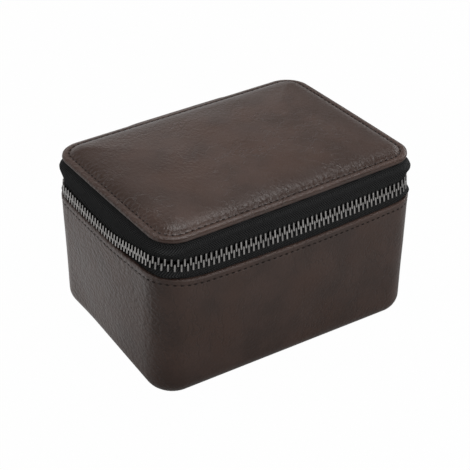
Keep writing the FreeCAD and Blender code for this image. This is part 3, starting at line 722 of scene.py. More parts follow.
def tape_material(name):
    """Woven zip tape with a herringbone of narrow ribs."""
    recipe = Recipe(name)
    along = recipe.attribute("along")
    across = recipe.attribute("across")
    place = recipe.place()
    ribs = ((along + across.zigzag(2.4)) * (TURN / 1.0)).sine()
    threads = (across * (TURN / 0.42)).sine()
    weave = ribs * 0.5 + threads * 0.18
    fuzz = recipe.cloud(place, 4.5, 2.0)
    base = colours().tape
    shade_share = weave * 0.6 + fuzz * 0.4 + 0.3
    colour = recipe.blend(shade_share, tone(base, 0.15), tone(base, 2.0))
    return recipe.finish(colour, fuzz * 0.2 + 0.6, weave * 0.2 + fuzz * 0.04, Specular_IOR_Level=0.01)


def metal_material(name):
    """Nickel-plated metal with fine rubbing marks, dulled in places."""
    recipe = Recipe(name)
    place = recipe.place()
    marks = recipe.cloud(recipe.stretched(place, (1.0, 1.0, 6.0)), 3.0, 3.0)
    tarnish = recipe.cloud(place, 0.5, 2.0)
    base = colours().metal
    colour = recipe.blend(tarnish.ramp(0.35, 0.7), tone(base, 1.1), tone(base, 0.72))
    return recipe.finish(colour, marks * 0.16 + 0.22, marks * 0.008, Metallic=1.0)


def suede_material(name, base):
    """Brushed suede with a short nap."""
    recipe = Recipe(name)
    place = recipe.place()
    nap = recipe.cloud(place, 5.0, 3.0, 0.7)
    brushed = recipe.cloud(recipe.stretched(place, (1.0, 0.5, 1.0)), 0.12, 2.0)
    share = nap * 0.5 + brushed * 0.5
    colour = recipe.blend(share.ramp(0.3, 0.7), tone(base, 0.78), tone(base, 1.16))
    return recipe.finish(colour, nap * 0.1 + 0.85, nap * 0.09, Sheen_Weight=0.3, Specular_IOR_Level=0.15)


def plain_finish(recipe, share, first, second, roughness, depth):
    """The surface of a layer inside the case: one pattern mixes its two colours and is its relief."""
    colour = recipe.blend(share, (*first, 1), (*second, 1))
    return recipe.finish(colour, share * 0.1 + roughness, share * depth)


def board_material(name):
    """Grey fibre board."""
    recipe = Recipe(name)
    fibres = recipe.cloud(recipe.stretched(recipe.place(), (1.0, 0.3, 1.0)), 2.2, 3.0)
    return plain_finish(recipe, fibres, (0.36, 0.31, 0.25), (0.52, 0.47, 0.39), 0.8, 0.05)


def foam_material(name):
    """Open-celled foam."""
    recipe = Recipe(name)
    pits = recipe.cells(recipe.place(), 1.8)
    return plain_finish(recipe, pits, (0.42, 0.42, 0.40), (0.60, 0.60, 0.57), 0.85, 0.2)


# What the case is covered with: material, slot and the material's maker
COVERINGS = {
    "leather": ("case_leather_grain", "case_leather", leather_material),
    "pull leather": ("pull_leather_grain", "pull_leather", lambda name: leather_material(name, 0.6)),
    "thread": ("case_thread", "case_leather", thread_material),
    "weave": ("zip_tape_weave", "zip_tape", tape_material),
    "teeth metal": ("zip_tooth_metal", "zip_metal", metal_material),
    "slider metal": ("slider_plate_metal", "slider_metal", metal_material),
    "suede": ("lining_suede", "lining", lambda name: suede_material(name, colours().lining)),
    "cushion suede": (
        "cushion_suede", "cushion_cover", lambda name: suede_material(name, colours().cushion)
    ),
    "board": ("fibre_board", "board", board_material),
    "foam": ("padding_foam", "foam", foam_material),
}


def covering(kind):
    """A covering's material, made when it is first asked for, and its slot."""
    name, slot, maker = COVERINGS[kind]
    return bpy.data.materials.get(name) or maker(name), slot


# The base


def arc(centre_inset, centre_level, radius, start, end, steps):
    """Knots of a profile along an arc, its angles in quarter turns."""
    angles = [(start + (end - start) * step / steps) * TURN / 4 for step in range(steps + 1)]
    return [(centre_inset - radius * math.cos(a), centre_level + radius * math.sin(a)) for a in angles]


def evenly(start, end, step):
    """Levels from start to end, about a step apart."""
    count = max(1, round(abs(end - start) / step))
    return [start + (end - start) * i / count for i in range(count + 1)]


def groove(offset, depth):
    """How deep a seam draws the leather in at an offset from its line."""
    return depth * math.exp(-((offset / (0.4 * MM)) ** 2))


def waves(place, spread, height):
    """The soft unevenness of a worked material, its spread and height in millimetres."""
    return noise.noise(Vector(place) / (spread * MM)) * height * MM


def wall_profile():
    """The wall's leather from under the base, up its face, over the edge and down behind the tape."""
    s = sizes()
    top = wall_high.z
    seam = top - s.wall_seam
    turned = s.wall_round
    knots = [(s.wall_turn_under, 0.0), (s.wall_turn_under * 0.8, 0.0)]
    knots += arc(turned, turned, turned, -1, 0, 9)
    knots += [(0.0, level) for level in evenly(turned + 1.5 * MM, seam - 1.2 * MM, 1.5 * MM)]
    for level in evenly(seam - 0.9 * MM, seam + 0.9 * MM, 0.2 * MM):
        dip = groove(level - seam, 0.16 * MM)
        knots.append((dip - 0.1 * MM * smooth(level, seam, seam + 0.9 * MM), level))
    knots += [(-0.12 * MM, level) for level in evenly(seam + 1.2 * MM, top - 1.1 * MM, 0.4 * MM)]
    roll = 0.75 * MM
    knots += arc(roll - 0.12 * MM, top - roll, roll, 0, 1, 6)
    inner = s.wall_leather
    knots += [(inner - 0.1 * MM, top - 0.05 * MM), (inner, top - 0.3 * MM)]
    knots += [(inner, level) for level in (top * 0.8, top * 0.5, turned)]
    knots += arc(turned, turned, turned - inner, 0, -1, 4)
    knots += [(s.wall_turn_under, inner), (s.wall_turn_under, 0.0)]
    return knots


def wall_swell(point, outline):
    """The wall's soft bulge and the hide's slight waves."""
    out = outline.normal(point.x, point.y)
    share = point.z / wall_high.z
    height = smooth(share, 0, 0.45) * (1 - smooth(share, 0.55, 0.97))
    reach = abs(point.x) / outline.half_x if abs(out.y) > 0.99 else abs(point.y) / outline.half_y
    middle = 1 - smooth(reach, 0.2, 1.0) if min(abs(out.x), abs(out.y)) < 0.05 else 0
    lift = (sizes().wall_bulge * middle + waves(point, 17, 0.22)) * height
    return Vector((point.x + out.x * lift, point.y + out.y * lift, point.z))


class WATCHCASE_OT_base_wall(bpy.types.Operator):
    """Wrap the base's leather wall, with its turned top edge and its panel underneath"""

    bl_idname = "watchcase.base_wall"
    bl_label = "Base wall"

    def execute(self, context):
        outline = wall_outline()
        wall = swept_ring("wall_leather", outline, wall_profile(), RING_STEP)
        outside = outline.inside(0.6 * MM)

        def swell(point):
            beyond = max(abs(point.x) - outside.half_x, abs(point.y) - outside.half_y)
            out = outline.normal(point.x, point.y)
            on_face = beyond > 0 or min(abs(out.x), abs(out.y)) > 0.02
            return wall_swell(point, outline) if on_face else point

        top = wall_high.z
        # The top of the wall's rolled edge is painted paler: partly the leather's raw edge, partly a painted
        # highlight.
        store(wall, "edge", [smooth(v.co.z, top - 0.7 * MM, top - 0.2 * MM) for v in wall.data.vertices])
        move_points(wall, swell)
        shade(wall, 60)
        settle(wall, "leather", "base", ["base_wall_leather"])

        corner = sizes().wall_corner + sizes().wall_round - sizes().wall_turn_under
        panel = plate("bottom_panel", panel_low, panel_high, corner, 0.35 * MM)
        settle(shade(panel), "leather", "base", ["base_bottom_leather"])
        return {"FINISHED"}


# The lid


def lid_knots():
    """The lid leather's edge: in from under the rim, round the roll and over the seam's groove."""
    s = sizes()
    low = lid_low.z + 0.05 * MM
    under = 0.36 * MM
    knots = [(6.0 * MM, low), (3.0 * MM, low)]
    knots += arc(under + 0.15 * MM, low + under, under, -1, 0, 3)
    knots += [(0.42 * MM, low + 2 * under), (0.2 * MM, low + 2.4 * under)]
    across, start = s.lid_seam - 0.7 * MM, lid_rim - s.lid_roll
    for inset, level in arc(across, 0, across, 0, 1, 8):
        knots.append((inset, start + level * s.lid_roll / across))
    for inset in evenly(s.lid_seam - 0.5 * MM, s.lid_seam + 0.5 * MM, 0.17 * MM):
        knots.append((inset, lid_rim - groove(inset - s.lid_seam, 0.15 * MM)))
    return knots


def lid_pillow(inset, x, y):
    """The height of the padded top inside the seam."""
    s = sizes()
    inside = inset - s.lid_seam - 0.5 * MM
    rise = s.lid_step * (1 - math.exp(-inside / (1.7 * MM)))
    rise += s.lid_crown * (1 - math.exp(-inside / (13 * MM)))
    return lid_rim + rise + waves((x, y, 0), 16, 0.2) * smooth(inset, s.lid_seam, s.lid_seam + 8 * MM)


def round_corner(outline, x, y):
    """Move a point on a plain rectangle's edge to the rounded outline of the same reach."""
    r = outline.corner
    across, deep = outline.half_x - r, outline.half_y - r
    if r > 0 and abs(x) > across and abs(y) > deep:
        if outline.half_y - abs(y) < outline.half_x - abs(x):
            angle = (abs(x) - across) / r * TURN / 8
        else:
            angle = TURN / 4 - (abs(y) - deep) / r * TURN / 8
        return (
            math.copysign(across + r * math.sin(angle), x),
            math.copysign(deep + r * math.cos(angle), y),
        )
    return x, y


def cap(name, outline, knots, spacing, rise):
    """A capped sheet: a grid whose outer rings follow the knots and whose middle follows a height."""
    last = knots[-1][0]
    reach_x = outline.half_x - last + (len(knots) - 1) * spacing
    reach_y = outline.half_y - last + (len(knots) - 1) * spacing
    count_x, count_y = round(2 * reach_x / spacing), round(2 * reach_y / spacing)
    new_shape("grid", (count_x / 2, count_y / 2, 1), x_subdivisions=count_x, y_subdivisions=count_y, size=2)
    piece = finish_edit(name)
    insets = []

    def place(point):
        ring = round(min(count_x / 2 - abs(point.x), count_y / 2 - abs(point.y)))
        if ring < len(knots):
            inset, level = knots[ring]
        else:
            inset, level = last + (ring - len(knots) + 1) * spacing, None
        track = Outline(outline.half_x - inset, outline.half_y - inset, max(outline.corner - inset, 0))
        x = point.x * track.half_x / max(count_x / 2 - ring, 1)
        y = point.y * track.half_y / max(count_y / 2 - ring, 1)
        x, y = round_corner(track, x, y)
        insets.append(inset / MM)
        return Vector((x, y, rise(inset, x, y) if level is None else level))

    move_points(piece, place)
    store(piece, "inset", insets)
    store_along(piece, outline)
    return piece


class WATCHCASE_OT_lid_top(bpy.types.Operator):
    """Stretch the lid's leather over its padding and roll it round the rim"""

    bl_idname = "watchcase.lid_top"
    bl_label = "Lid top"

    def execute(self, context):
        lid = cap("lid_leather", lid_outline(), lid_knots(), 0.8 * MM, lid_pillow)
        insets = [value.value for value in lid.data.attributes["inset"].data]
        # The lid's rolled rim is painted paler: a painted highlight.
        store(lid, "edge", [0.45 * smooth(i, 0.1, 0.6) * (1 - smooth(i, 1.2, 2.4)) for i in insets])
        apply_modifier(lid, "SOLIDIFY", thickness=0.55 * MM, offset=-1)
        turn_faces_out(lid)
        shade(lid, 60)
        settle(lid, "leather", "lid", ["lid_top_leather"])
        return {"FINISHED"}


# The zip


def tape_face(low, high, belly):
    """The outer face of a tape, from its sewn edge to the edge in the teeth: inset and level."""
    levels = evenly(low, high, 0.8 * MM)
    shares = [((level - low) / (high - low)) ** 2.2 for level in levels]
    return [(-belly * math.sin(share * math.pi) ** 1.3, level) for share, level in zip(shares, levels)]


def closed_tape(face, thickness):
    """A tape's closed profile: its outer face and the same line a thickness further in."""
    inner = [(inset + thickness, level) for inset, level in reversed(face)]
    return face + inner + face[:1]


def bend_tape(outline, reach, sign):
    """A tape's waves: its edge follows the zip's sag and its face billows a little."""

    def place(point):
        share = smooth(point.z * sign, reach[0] * sign, reach[1] * sign)
        out = outline.normal(point.x, point.y)
        corner = 4 * (out.x * out.y) ** 2
        billow = waves((point.x, point.y, 0), 14, 0.25) + corner * sizes().tape_flare * 1.9
        billow *= math.sin(share**0.6 * math.pi)
        return Vector((
            point.x + out.x * billow,
            point.y + out.y * billow,
            point.z + zip_lift(point.x, point.y) * share,
        ))

    return place


class WATCHCASE_OT_zip_tapes(bpy.types.Operator):
    """Lay the two woven tapes between the leather and the teeth"""

    bl_idname = "watchcase.zip_tapes"
    bl_label = "Zip tapes"

    def execute(self, context):
        thick, outline = sizes().tape, tape_outline()
        lower_face = tape_face(tape_low.z, tape_high.z, 0.0)
        lower = swept_ring("tape_lower", outline, closed_tape(lower_face, thick), RING_STEP)
        cut_at_spine(lower)
        move_points(lower, bend_tape(outline, (wall_high.z, tape_high.z), 1))
        settle(lower, "weave", "base", ["zip_tape_lower"])

        top, sewn = upper_high.z, upper_high.z - thick
        upper_face = tape_face(upper_low.z, sewn, sizes().tape_flare)
        upper = swept_ring("tape_upper", outline, closed_tape(upper_face, thick), RING_STEP)
        outer, inner = 0.05 * MM, 6 * MM
        hem_profile = [(outer, sewn), (outer, top), (inner, top), (inner, sewn), (outer, sewn)]
        hem = swept_ring("tape_hem", outline, hem_profile, RING_STEP)
        for piece in (upper, hem):
            cut_at_spine(piece)
        upper = join("tape_upper", [upper, hem])
        move_points(upper, bend_tape(outline, (top - 2 * MM, upper_low.z), -1))
        near, far = split_at_slider(upper)
        settle(far, "weave", "lid", ["zip_tape_upper"])
        settle(near, "weave", None, ["zip_tape_upper_slider_end"])
        peel_from_slider(near)
        return {"FINISHED"}


def close_ends(piece):
    """Fill the open ends of a cut ring."""
    edit(piece)
    bpy.ops.mesh.select_all(action="DESELECT")
    bpy.ops.mesh.select_mode(type="EDGE")
    bpy.ops.mesh.select_non_manifold(extend=False)
    bpy.ops.mesh.edge_face_add()
    select_all()
    bpy.ops.mesh.normals_make_consistent(inside=False)
    leave_edit()


def join(name, pieces):
    """Make one piece of several."""
    clear_selection()
    for piece in pieces:
        piece.select_set(True)
    bpy.context.view_layer.objects.active = pieces[0]
    bpy.ops.object.join()
    return named(bpy.context.object, name)


def slider_side(place):
    """Whether a place on the zip is in the stretch that the slider holds."""
    return place.y > 0 and 0 < place.x < near_end


def split_at_slider(upper):
    """Part the upper tape where the slider's stretch ends."""
    edit(upper)
    slice_at(0, near_end)
    select_where("FACE", lambda face: slider_side(face.calc_center_median()))
    bpy.ops.mesh.separate(type="SELECTED")
    leave_edit()
    near = next(piece for piece in bpy.context.selected_objects if piece is not upper)
    named(near, "tape_upper_slider_end")
    for piece in (near, upper):
        close_ends(piece)
    return near, upper


def peel_from_slider(piece):
    """Near the slider the upper row stays in it while the rest follows the lid: bake its placement into its
    mesh.
    """
    hinge_cloth(piece)


def slim(teeth):
    """Draw each tooth in a little along the zip, and towards the middle of the chain."""
    mesh = bmesh.new()
    mesh.from_mesh(teeth.data)
    left = set(mesh.verts)
    while left:
        tooth, reached = [], [left.pop()]
        while reached:
            vertex = reached.pop()
            tooth.append(vertex)
            for link in vertex.link_edges:
                other = link.other_vert(vertex)
                if other in left:
                    left.remove(other)
                    reached.append(other)
        middle = sum((vertex.co for vertex in tooth), Vector()) / len(tooth)
        out = zip_outline().normal(middle.x, middle.y)
        ahead = Vector((out.y, -out.x, 0))
        for vertex in tooth:
            vertex.co -= ahead * (vertex.co - middle).dot(ahead) * TOOTH_THINNING
            vertex.co.z = zip_level + (vertex.co.z - zip_level) * TOOTH_HEIGHT
    mesh.to_mesh(teeth.data)
    mesh.free()
    return teeth


class WATCHCASE_OT_zip_teeth(bpy.types.Operator):
    """Set the rows of metal teeth and their end stops"""

    bl_idname = "watchcase.zip_teeth"
    bl_label = "Zip teeth"

    def execute(self, context):
        for node, body in (
            ("zip_teeth_lower", "base"),
            ("zip_teeth_lower_slider_end", "base"),
            ("zip_teeth_upper", "lid"),
            ("zip_teeth_upper_slider_end", None),
            ("zip_stops_lower", "base"),
            ("zip_stops_upper", "lid"),
        ):
            teeth = softened_copy(node.replace("zip_", "metal_"), node, 0.14 * MM, 1)
            move_points(slim(teeth), lambda point: point + Vector((0, 0, zip_lift(point.x, point.y))))
            shade(teeth, 30)
            settle(teeth, "teeth metal", body, [node])
            if body is None:
                peel_from_slider(teeth)
        return {"FINISHED"}


# The spine


def spine_strip(name, low, high, height):
    """A strip of leather or lining that stands across the back, in courses that can bend."""
    clear_selection()
    bpy.ops.mesh.primitive_cube_add(size=1, location=(low + high) / 2, scale=high - low)
    bpy.ops.object.transform_apply(location=True, rotation=False, scale=True)
    bpy.ops.object.mode_set(mode="EDIT")
    for axis, step in ((2, 0.8 * MM), (0, 2.2 * MM)):
        for level in evenly(low[axis], high[axis], step)[1:-1]:
            slice_at(axis, level)
    piece = finish_edit(name)
    round_edges(piece, 0.3 * MM, 2, 60)
    move_points(piece, lambda point: point + Vector((0, waves((point.x, 0, point.z), 12, height), 0)))
    return shade(piece, 50)


def spine_lean(level):
    """How far the spine's upper end leans in against the lid's rim."""
    return 0.8 * MM * smooth(level, lid_low.z - 4 * MM, lid_low.z - 0.5 * MM)


class WATCHCASE_OT_spine(bpy.types.Operator):
    """Join the lid to the base with a strip of leather and its lining"""

    bl_idname = "watchcase.spine"
    bl_label = "Spine"

    def ease(self, point):
        """Draw the strip's upper edge down a little, and its two ends more."""
        end = smooth(abs(point.x), spine_high.x * 0.6, spine_high.x)
        level = point.z - (0.6 + 1.1 * end) * MM * smooth(point.z, hinge_point.z + 4 * MM, spine_high.z)
        return Vector((point.x, point.y - spine_lean(level), level))

    def execute(self, context):
        leather = spine_strip("spine_outside", spine_low, spine_high, 0.12)
        move_points(leather, self.ease)
        settle(leather, "leather", None, ["spine_leather"])
        backing = spine_strip("spine_inside", backing_low, backing_high, 0.04)
        move_points(backing, lambda point: point - Vector((0, spine_lean(point.z), 0)))
        settle(backing, "suede", None, ["spine_lining"])
        for piece in (leather, backing):
            hinge_cloth(piece)
        return {"FINISHED"}


# Stitching


def stitch_row(name, places, body):
    """Stitches at the places given, each a small rounded dash: point, direction and outward side."""
    s = sizes()
    dash = (s.thread, s.thread * 0.75, s.stitch_length)
    new_shape("uv_sphere", dash, segments=8, ring_count=6, radius=0.5)
    pattern = finish_edit(name)
    copies = []
    for point, heading, out in places:
        turn = Matrix((heading.cross(out) * -1, out, heading)).transposed().to_4x4()
        copy = pattern.copy()
        copy.data = pattern.data.copy()
        bpy.context.scene.collection.objects.link(copy)
        copy.data.transform(Matrix.Translation(point) @ turn)
        copies.append(copy)
    bpy.data.objects.remove(pattern)
    row = join(name, copies)
    turn_faces_out(row)
    shade(row, 80)
    settle(row, "thread", body)


def outline_places(outline, level, tilt, skip_back=0.0):
    """Stitch places along an outline at a level, leaning out by the tilt."""
    count = round(outline.length() / sizes().stitch_pitch)
    for index in range(count):
        point, heading = outline.place((index + 0.5) * outline.length() / count)
        if point.y > 0 and abs(point.x) < skip_back:
            continue
        ahead = Vector((math.cos(heading), math.sin(heading), 0))
        side = Vector((-math.sin(heading), math.cos(heading), 0))
        out = (side * math.cos(tilt) + Vector((0, 0, 1)) * math.sin(tilt)).normalized()
        yield Vector((point.x, point.y, level)), ahead, out


class WATCHCASE_OT_stitching(bpy.types.Operator):
    """Stitch the lid's edge, the base's edge and the spine"""

    bl_idname = "watchcase.stitching"
    bl_label = "Stitching"

    def execute(self, context):
        s = sizes()
        lid_line = lid_outline().inside(s.lid_seam)
        wall_line = wall_outline().inside(0.06 * MM)
        upper_end = spine_high.z - 3.2 * MM
        for name, places, body in (
            ("lid_stitches", outline_places(lid_line, lid_rim - 0.03 * MM, TURN / 4), "lid"),
            ("wall_stitches", outline_places(wall_line, wall_high.z - s.wall_seam, 0, spine_high.x), "base"),
            ("spine_stitches_lower", self.spine_places(spine_low.z + 2 * MM, wall_high.z), "base"),
            ("spine_stitches_upper", self.spine_places(spine_high.z - 8 * MM, upper_end), "lid"),
        ):
            stitch_row(name, places, body)
        return {"FINISHED"}

    def spine_places(self, low, high):
        """Down both sides of the spine, and along its end where that lies on the case."""
        pitch = sizes().stitch_pitch
        out = Vector((0, 1, 0))
        side_x = spine_high.x - 2 * MM
        face_y = spine_high.y
        for side in (-1, 1):
            for level in evenly(low + pitch / 2, high - pitch / 2, pitch):
                yield Vector((side * side_x, face_y - spine_lean(level), level)), Vector((0, 0, 1)), out
        end = low if low < wall_high.z else high
        for x in evenly(-side_x + pitch / 2, side_x - pitch / 2, pitch):
            yield Vector((x, face_y - spine_lean(end), end)), Vector((1, 0, 0)), out


# The slider and its pull


class WATCHCASE_OT_slider(bpy.types.Operator):
    """Round off the slider and hang its leather pull"""

    bl_idname = "watchcase.slider"
    bl_label = "Slider and pull"

    def execute(self, context):
        for name, node, width, angle, kind, body in (
            ("slider_plates", "slider_body", 0.28 * MM, 35, "slider metal", "slider"),
            ("slider_arch", "slider_bail", 0.32 * MM, 35, "slider metal", "slider"),
            ("pull_leather_tab", "pull_tab", 0.35 * MM, 50, "pull leather", "pull"),
        ):
            settle(shade(softened_copy(name, node, width, 3), angle), kind, body, [node])
        for node in ("pull_link", "pull_eyelet"):
            put_on(frame["nodes"][node].data, covering("slider metal")[0])
        stitch_row("pull_stitches", self.pull_places(), "pull")
        return {"FINISHED"}

    def pull_places(self):
        """Down both long sides of the pull, on both of its faces."""
        pitch = sizes().stitch_pitch * 0.8
        margin = 1.1 * MM
        for face_y, out in ((tab_low.y, -1), (tab_high.y, 1)):
            for x in (tab_low.x + margin, tab_high.x - margin):
                for z in evenly(tab_low.z + 2.4 * MM, eyelet_low.z - 0.5 * MM, pitch):
                    yield Vector((x, face_y, z)), Vector((0, 0, 1)), Vector((0, out, 0))


# The inside


def lining_profile():
    """The wall lining's closed profile, with a soft top edge and a curve into the floor."""
    s = sizes()
    thick = LINING_SKIN
    inset = wall_high.x - lining_high.x
    curve = s.wall_round - inset
    top = lining_high.z
    under = inset + curve
    knots = [(under + 2 * MM, lining_low.z)]
    knots += arc(under, lining_low.z + curve, curve, -1, 0, 4)
    knots += [(inset, level) for level in (top * 0.5, top - thick / 2)]
    knots += arc(inset + thick / 2, top - thick / 2, thick / 2, 0, 2, 4)[1:]
    knots += [(inset + thick, level) for level in evenly(top * 0.9, lining_low.z + curve + 2 * MM, 3 * MM)]
    knots += arc(under, lining_low.z + curve, curve - thick, 0, -1, 4)
    knots += [(under + 2 * MM, lining_low.z + thick), (under + 2 * MM, lining_low.z)]
    return knots


class WATCHCASE_OT_lining(bpy.types.Operator):
    """Line the base and the lid with brushed suede"""

    bl_idname = "watchcase.lining"
    bl_label = "Lining"

    def execute(self, context):
        wall = swept_ring("lining_walls", wall_outline(), lining_profile(), 2 * RING_STEP)
        settle(shade(wall, 60), "suede", "base", ["base_wall_lining"])
        corner = sizes().wall_corner + sizes().wall_round - (wall_high.x - floor_high.x)
        floor = plate("lining_floor", floor_low, floor_high, corner, 0.5 * MM)
        settle(shade(floor), "suede", "base", ["base_floor_lining"])
        divider = cut_in_courses(softened_copy("divider_pad", "compartment_divider", 0.3 * MM, 2), 5 * MM)
        settle(shade(divider, 60), "suede", "base", ["compartment_divider"])
        corner = sizes().wall_corner - (wall_high.x - ceiling_high.x)
        ceiling = plate("lid_ceiling", ceiling_low, ceiling_high, corner, 0.4 * MM)
        settle(shade(cut_in_courses(ceiling, 8 * MM)), "suede", "lid", ["lid_lining"])
        return {"FINISHED"}


class WATCHCASE_OT_cushions(bpy.types.Operator):
    """Stuff the two watch cushions"""

    bl_idname = "watchcase.cushions"
    bl_label = "Watch cushions"

    def execute(self, context):
        for side in ("left", "right"):
            node = f"watch_cushion_{side}"
            cushion = softened_copy(f"cushion_{side}", node, 1.2 * MM, 3)
            self.stuff(cushion)
            settle(shade(cushion, 60), "cushion suede", "base", [node])
        return {"FINISHED"}

    def stuff(self, cushion):
        """Swell the cushion with a short cloth simulation, and keep its growth within its bay."""
        apply_modifier(cushion, "REMESH", mode="VOXEL", voxel_size=2 * MM)
        rest = [vertex.co.copy() for vertex in cushion.data.vertices]
        low = min(point.z for point in rest)
        activate(cushion)
        cloth = cushion.modifiers.new("stuffing", "CLOTH")
        cloth.settings.use_pressure = True
        cloth.settings.uniform_pressure_force = 3
        cloth.settings.effector_weights.gravity = 0
        frames, most = 15, 1.2 * MM
        for frame_number in range(1, frames + 1):
            bpy.context.scene.frame_set(frame_number)
        bpy.ops.object.modifier_apply(modifier=cloth.name)
        bpy.context.scene.frame_set(1)
        for vertex, start in zip(cushion.data.vertices, rest):
            growth = vertex.co - start
            if growth.length > most:
                growth *= most / growth.length
            vertex.co = start + growth
            vertex.co.z = max(vertex.co.z, low)
        apply_modifier(cushion, "SUBSURF", levels=1, render_levels=1)


class WATCHCASE_OT_hidden_layers(bpy.types.Operator):
    """Give the boards and the foam inside the case their materials"""

    bl_idname = "watchcase.hidden_layers"
    bl_label = "Boards and foam"

    def layer(self, node, step):
        """A packed layer cut in courses."""
        return turn_faces_out(cut_in_courses(packed_shape(f"inner_{node}", node), step))

    def press(self, point):
        """Keep the foam inside the seam, under the lid's leather and over its board."""
        outline = lid_outline()
        drawn_in = (0.955, 0.945)
        point = Vector((point.x * drawn_in[0], point.y * drawn_in[1], point.z))
        reach = outline.reach(point.x, point.y)
        if reach.x and reach.y:
            inset = outline.corner - reach.length
        else:
            inset = min(outline.half_x - abs(point.x), outline.half_y - abs(point.y))
        inset = max(inset - 1.2 * MM, sizes().lid_seam + 0.5 * MM)
        ceiling = lid_pillow(inset, point.x, point.y) - 0.9 * MM  # clear of the leather's inner face
        return Vector((point.x, point.y, max(min(point.z, ceiling), board_high.z + 0.02 * MM)))

    def execute(self, context):
        for node in ("base_wall_board", "base_floor_board", "lid_board"):
            board = self.layer(node, 6 * MM)
            settle(board, "board", node.split("_")[0], [node])
        for node in ("lid_crown_foam", "lid_lining_foam"):
            foam = self.layer(node, 4 * MM)
            if node == "lid_crown_foam":
                move_points(foam, self.press)
            settle(foam, "foam", "lid", [node])
        return {"FINISHED"}


# The stage

# Each lamp's name, place and size in metres, and power in watts
LAMPS = (
    ("key_above", (0.22, 0.10, 1.06), 0.5, 5.4),
    ("key_left", (-0.70, 0.25, 0.50), 0.6, 0.8),
    ("top_soft", (0.14, 0.34, 0.95), 0.8, 0.35),
    ("fill_front", (0.38, -0.95, 0.48), 0.8, 3.4),
    ("edge_right", (0.8, 0.15, 0.25), 0.4, 1.3),
)


def white_to_camera(recipe, lit, shown, output):
    """Show one shader to the camera and in reflections, and the lit one otherwise."""
    shader, camera_share, mirrored_share = shown
    rays = ("Camera", "Glossy", "Transmission")
    camera, glossy, through = (recipe.node("LightPath", output=f"Is {ray} Ray") for ray in rays)
    mirrored = glossy.maths("MAXIMUM", through) * mirrored_share
    seen = (camera * camera_share).maths("MAXIMUM", mirrored)
    mixed = recipe.node("MixShader", inputs={0: seen, 1: lit, 2: shader})
    recipe.sink(output, mixed)


def add_lamp(name, place, size, power):
    """A soft square lamp that points at the case."""
    clear_selection()
    bpy.ops.object.light_add(type="AREA", location=place)
    lamp = bpy.context.object
    lamp.name = name
    lamp.data.shape = "SQUARE"
    lamp.data.size = size
    lamp.data.energy = power
    lamp.rotation_mode = "QUATERNION"
    lamp.rotation_quaternion = (Vector((0, 0, 0.04)) - Vector(place)).to_track_quat("-Z", "Y")


def add_camera():
    """The photograph's camera: a long lens, from the front left and above."""
    azimuth, elevation, roll = math.radians(-33.51), math.radians(33.93), math.radians(0.6)
    distance, aim_height = 0.5287, 0.035
    back = Vector((
        math.sin(azimuth) * math.cos(elevation),
        -math.cos(azimuth) * math.cos(elevation),
        math.sin(elevation),
    ))
    facing = (-back).to_track_quat("-Z", "Y")
    right, up = facing @ Vector((1, 0, 0)), facing @ Vector((0, 1, 0))
    shift_right, shift_up = 0.33 * MM, -1.62 * MM
    place = back * distance + Vector((0, 0, aim_height)) + right * shift_right + up * shift_up
    bpy.ops.object.camera_add(location=place)
    camera = bpy.context.object
    camera.name = "photo_camera"
    camera.data.sensor_width = 36
    camera.data.lens = 97.97
    camera.data.clip_start, camera.data.clip_end = 0.01, 20
    camera.rotation_mode = "QUATERNION"
    camera.rotation_quaternion = facing @ Matrix.Rotation(roll, 3, "Z").to_quaternion()
    bpy.context.scene.camera = camera


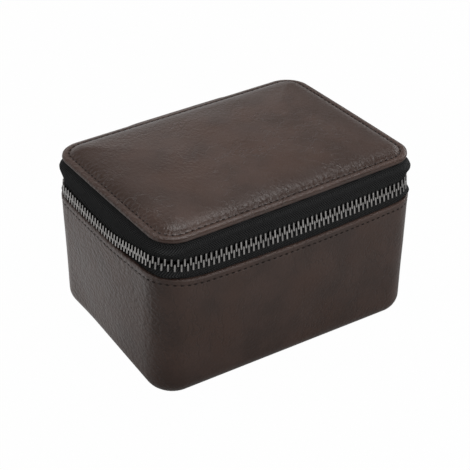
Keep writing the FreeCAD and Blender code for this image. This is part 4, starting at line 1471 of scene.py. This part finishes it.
class WATCHCASE_OT_stage(bpy.types.Operator):
    """Set the pale floor, the soft light and the camera"""

    bl_idname = "watchcase.stage"
    bl_label = "Stage"

    def execute(self, context):
        clear_selection()
        bpy.ops.mesh.primitive_plane_add(size=6)
        floor = bpy.context.object
        floor.name = "studio_floor"
        recipe = Recipe("studio_white")
        lit = recipe.node("BsdfDiffuse", inputs={"Color": (0.24, 0.24, 0.24, 1)})
        white = recipe.node("Emission", inputs={"Color": (1, 1, 1, 1), "Strength": 1.0})
        place = recipe.place()
        depth = recipe.axes(place, 1)
        ahead, beside = 0.0 - depth, 0.0 - recipe.axes(place, 0)
        # Painted light in reflections: the floor as reflected rays see it is painted darker just in front of
        # the case, a painted shadow, and lighter towards the back and further out to the left.
        near = ahead.ramp(45.0, 115.0).maths("MAXIMUM", beside.ramp(62.0, 100.0) * ahead.ramp(42.0, 62.0))
        far = depth.ramp(-60.0, 50.0) * (beside.ramp(58.0, 105.0) * 0.2 + 0.62)
        mirrored = far + near * 0.31 + 0.2
        white_to_camera(recipe, lit, (white, 0.99, mirrored), "OutputMaterial")
        floor.data.materials.append(recipe.material)

        recipe = Recipe("studio_world", "worlds")
        bpy.context.scene.world = recipe.material
        lit = recipe.node("Background", inputs={"Color": (1, 1, 1, 1), "Strength": 0.2})
        direction = recipe.node("TexCoord", output="Generated")
        right = recipe.axes(direction, 0).ramp(0.48, 0.66) * 0.85
        dusk = recipe.axes(direction, 2).ramp(0.25, 0.62).maths("MAXIMUM", right)
        colour = recipe.blend(dusk, (1, 1, 1, 1), (0.1, 0.1, 0.1, 1))
        white = recipe.node("Background", inputs={"Color": colour, "Strength": 1.0})
        white_to_camera(recipe, lit, (white, 1.0, 1.0), "OutputWorld")

        for name, place, size, watts in LAMPS:
            add_lamp(name, place, size, watts)
        add_camera()
        bpy.context.scene.view_settings.view_transform = "Standard"
        return {"FINISHED"}


class WATCHCASE_PT_panel(bpy.types.Panel):
    """Lists the case's sizes and colours and the steps that dress it."""

    bl_idname = "WATCHCASE_PT_panel"
    bl_label = "Watch travel case"
    bl_space_type = "VIEW_3D"
    bl_region_type = "UI"
    bl_category = "Watch case"

    def draw(self, context):
        for group in (context.scene.watch_case_sizes, context.scene.watch_case_colours):
            for name in group.__annotations__:
                self.layout.prop(group, name)
        for step in STEPS:
            self.layout.operator(step.bl_idname)


STEPS = (
    WATCHCASE_OT_stage,
    WATCHCASE_OT_base_wall,
    WATCHCASE_OT_lid_top,
    WATCHCASE_OT_zip_tapes,
    WATCHCASE_OT_zip_teeth,
    WATCHCASE_OT_spine,
    WATCHCASE_OT_stitching,
    WATCHCASE_OT_slider,
    WATCHCASE_OT_lining,
    WATCHCASE_OT_cushions,
    WATCHCASE_OT_hidden_layers,
)
CLASSES = (CaseSizes, CaseColours, *STEPS, WATCHCASE_PT_panel)


def register():
    for item in CLASSES:
        bpy.utils.register_class(item)
    bpy.types.Scene.watch_case_sizes = PointerProperty(type=CaseSizes)
    bpy.types.Scene.watch_case_colours = PointerProperty(type=CaseColours)


def unregister():
    del bpy.types.Scene.watch_case_colours
    del bpy.types.Scene.watch_case_sizes
    for item in reversed(CLASSES):
        bpy.utils.unregister_class(item)


def main():
    register()
    for step in STEPS:
        group, name = step.bl_idname.split(".")
        getattr(getattr(bpy.ops, group), name)()
    clear_selection()


if __name__ == "__main__":
    main()
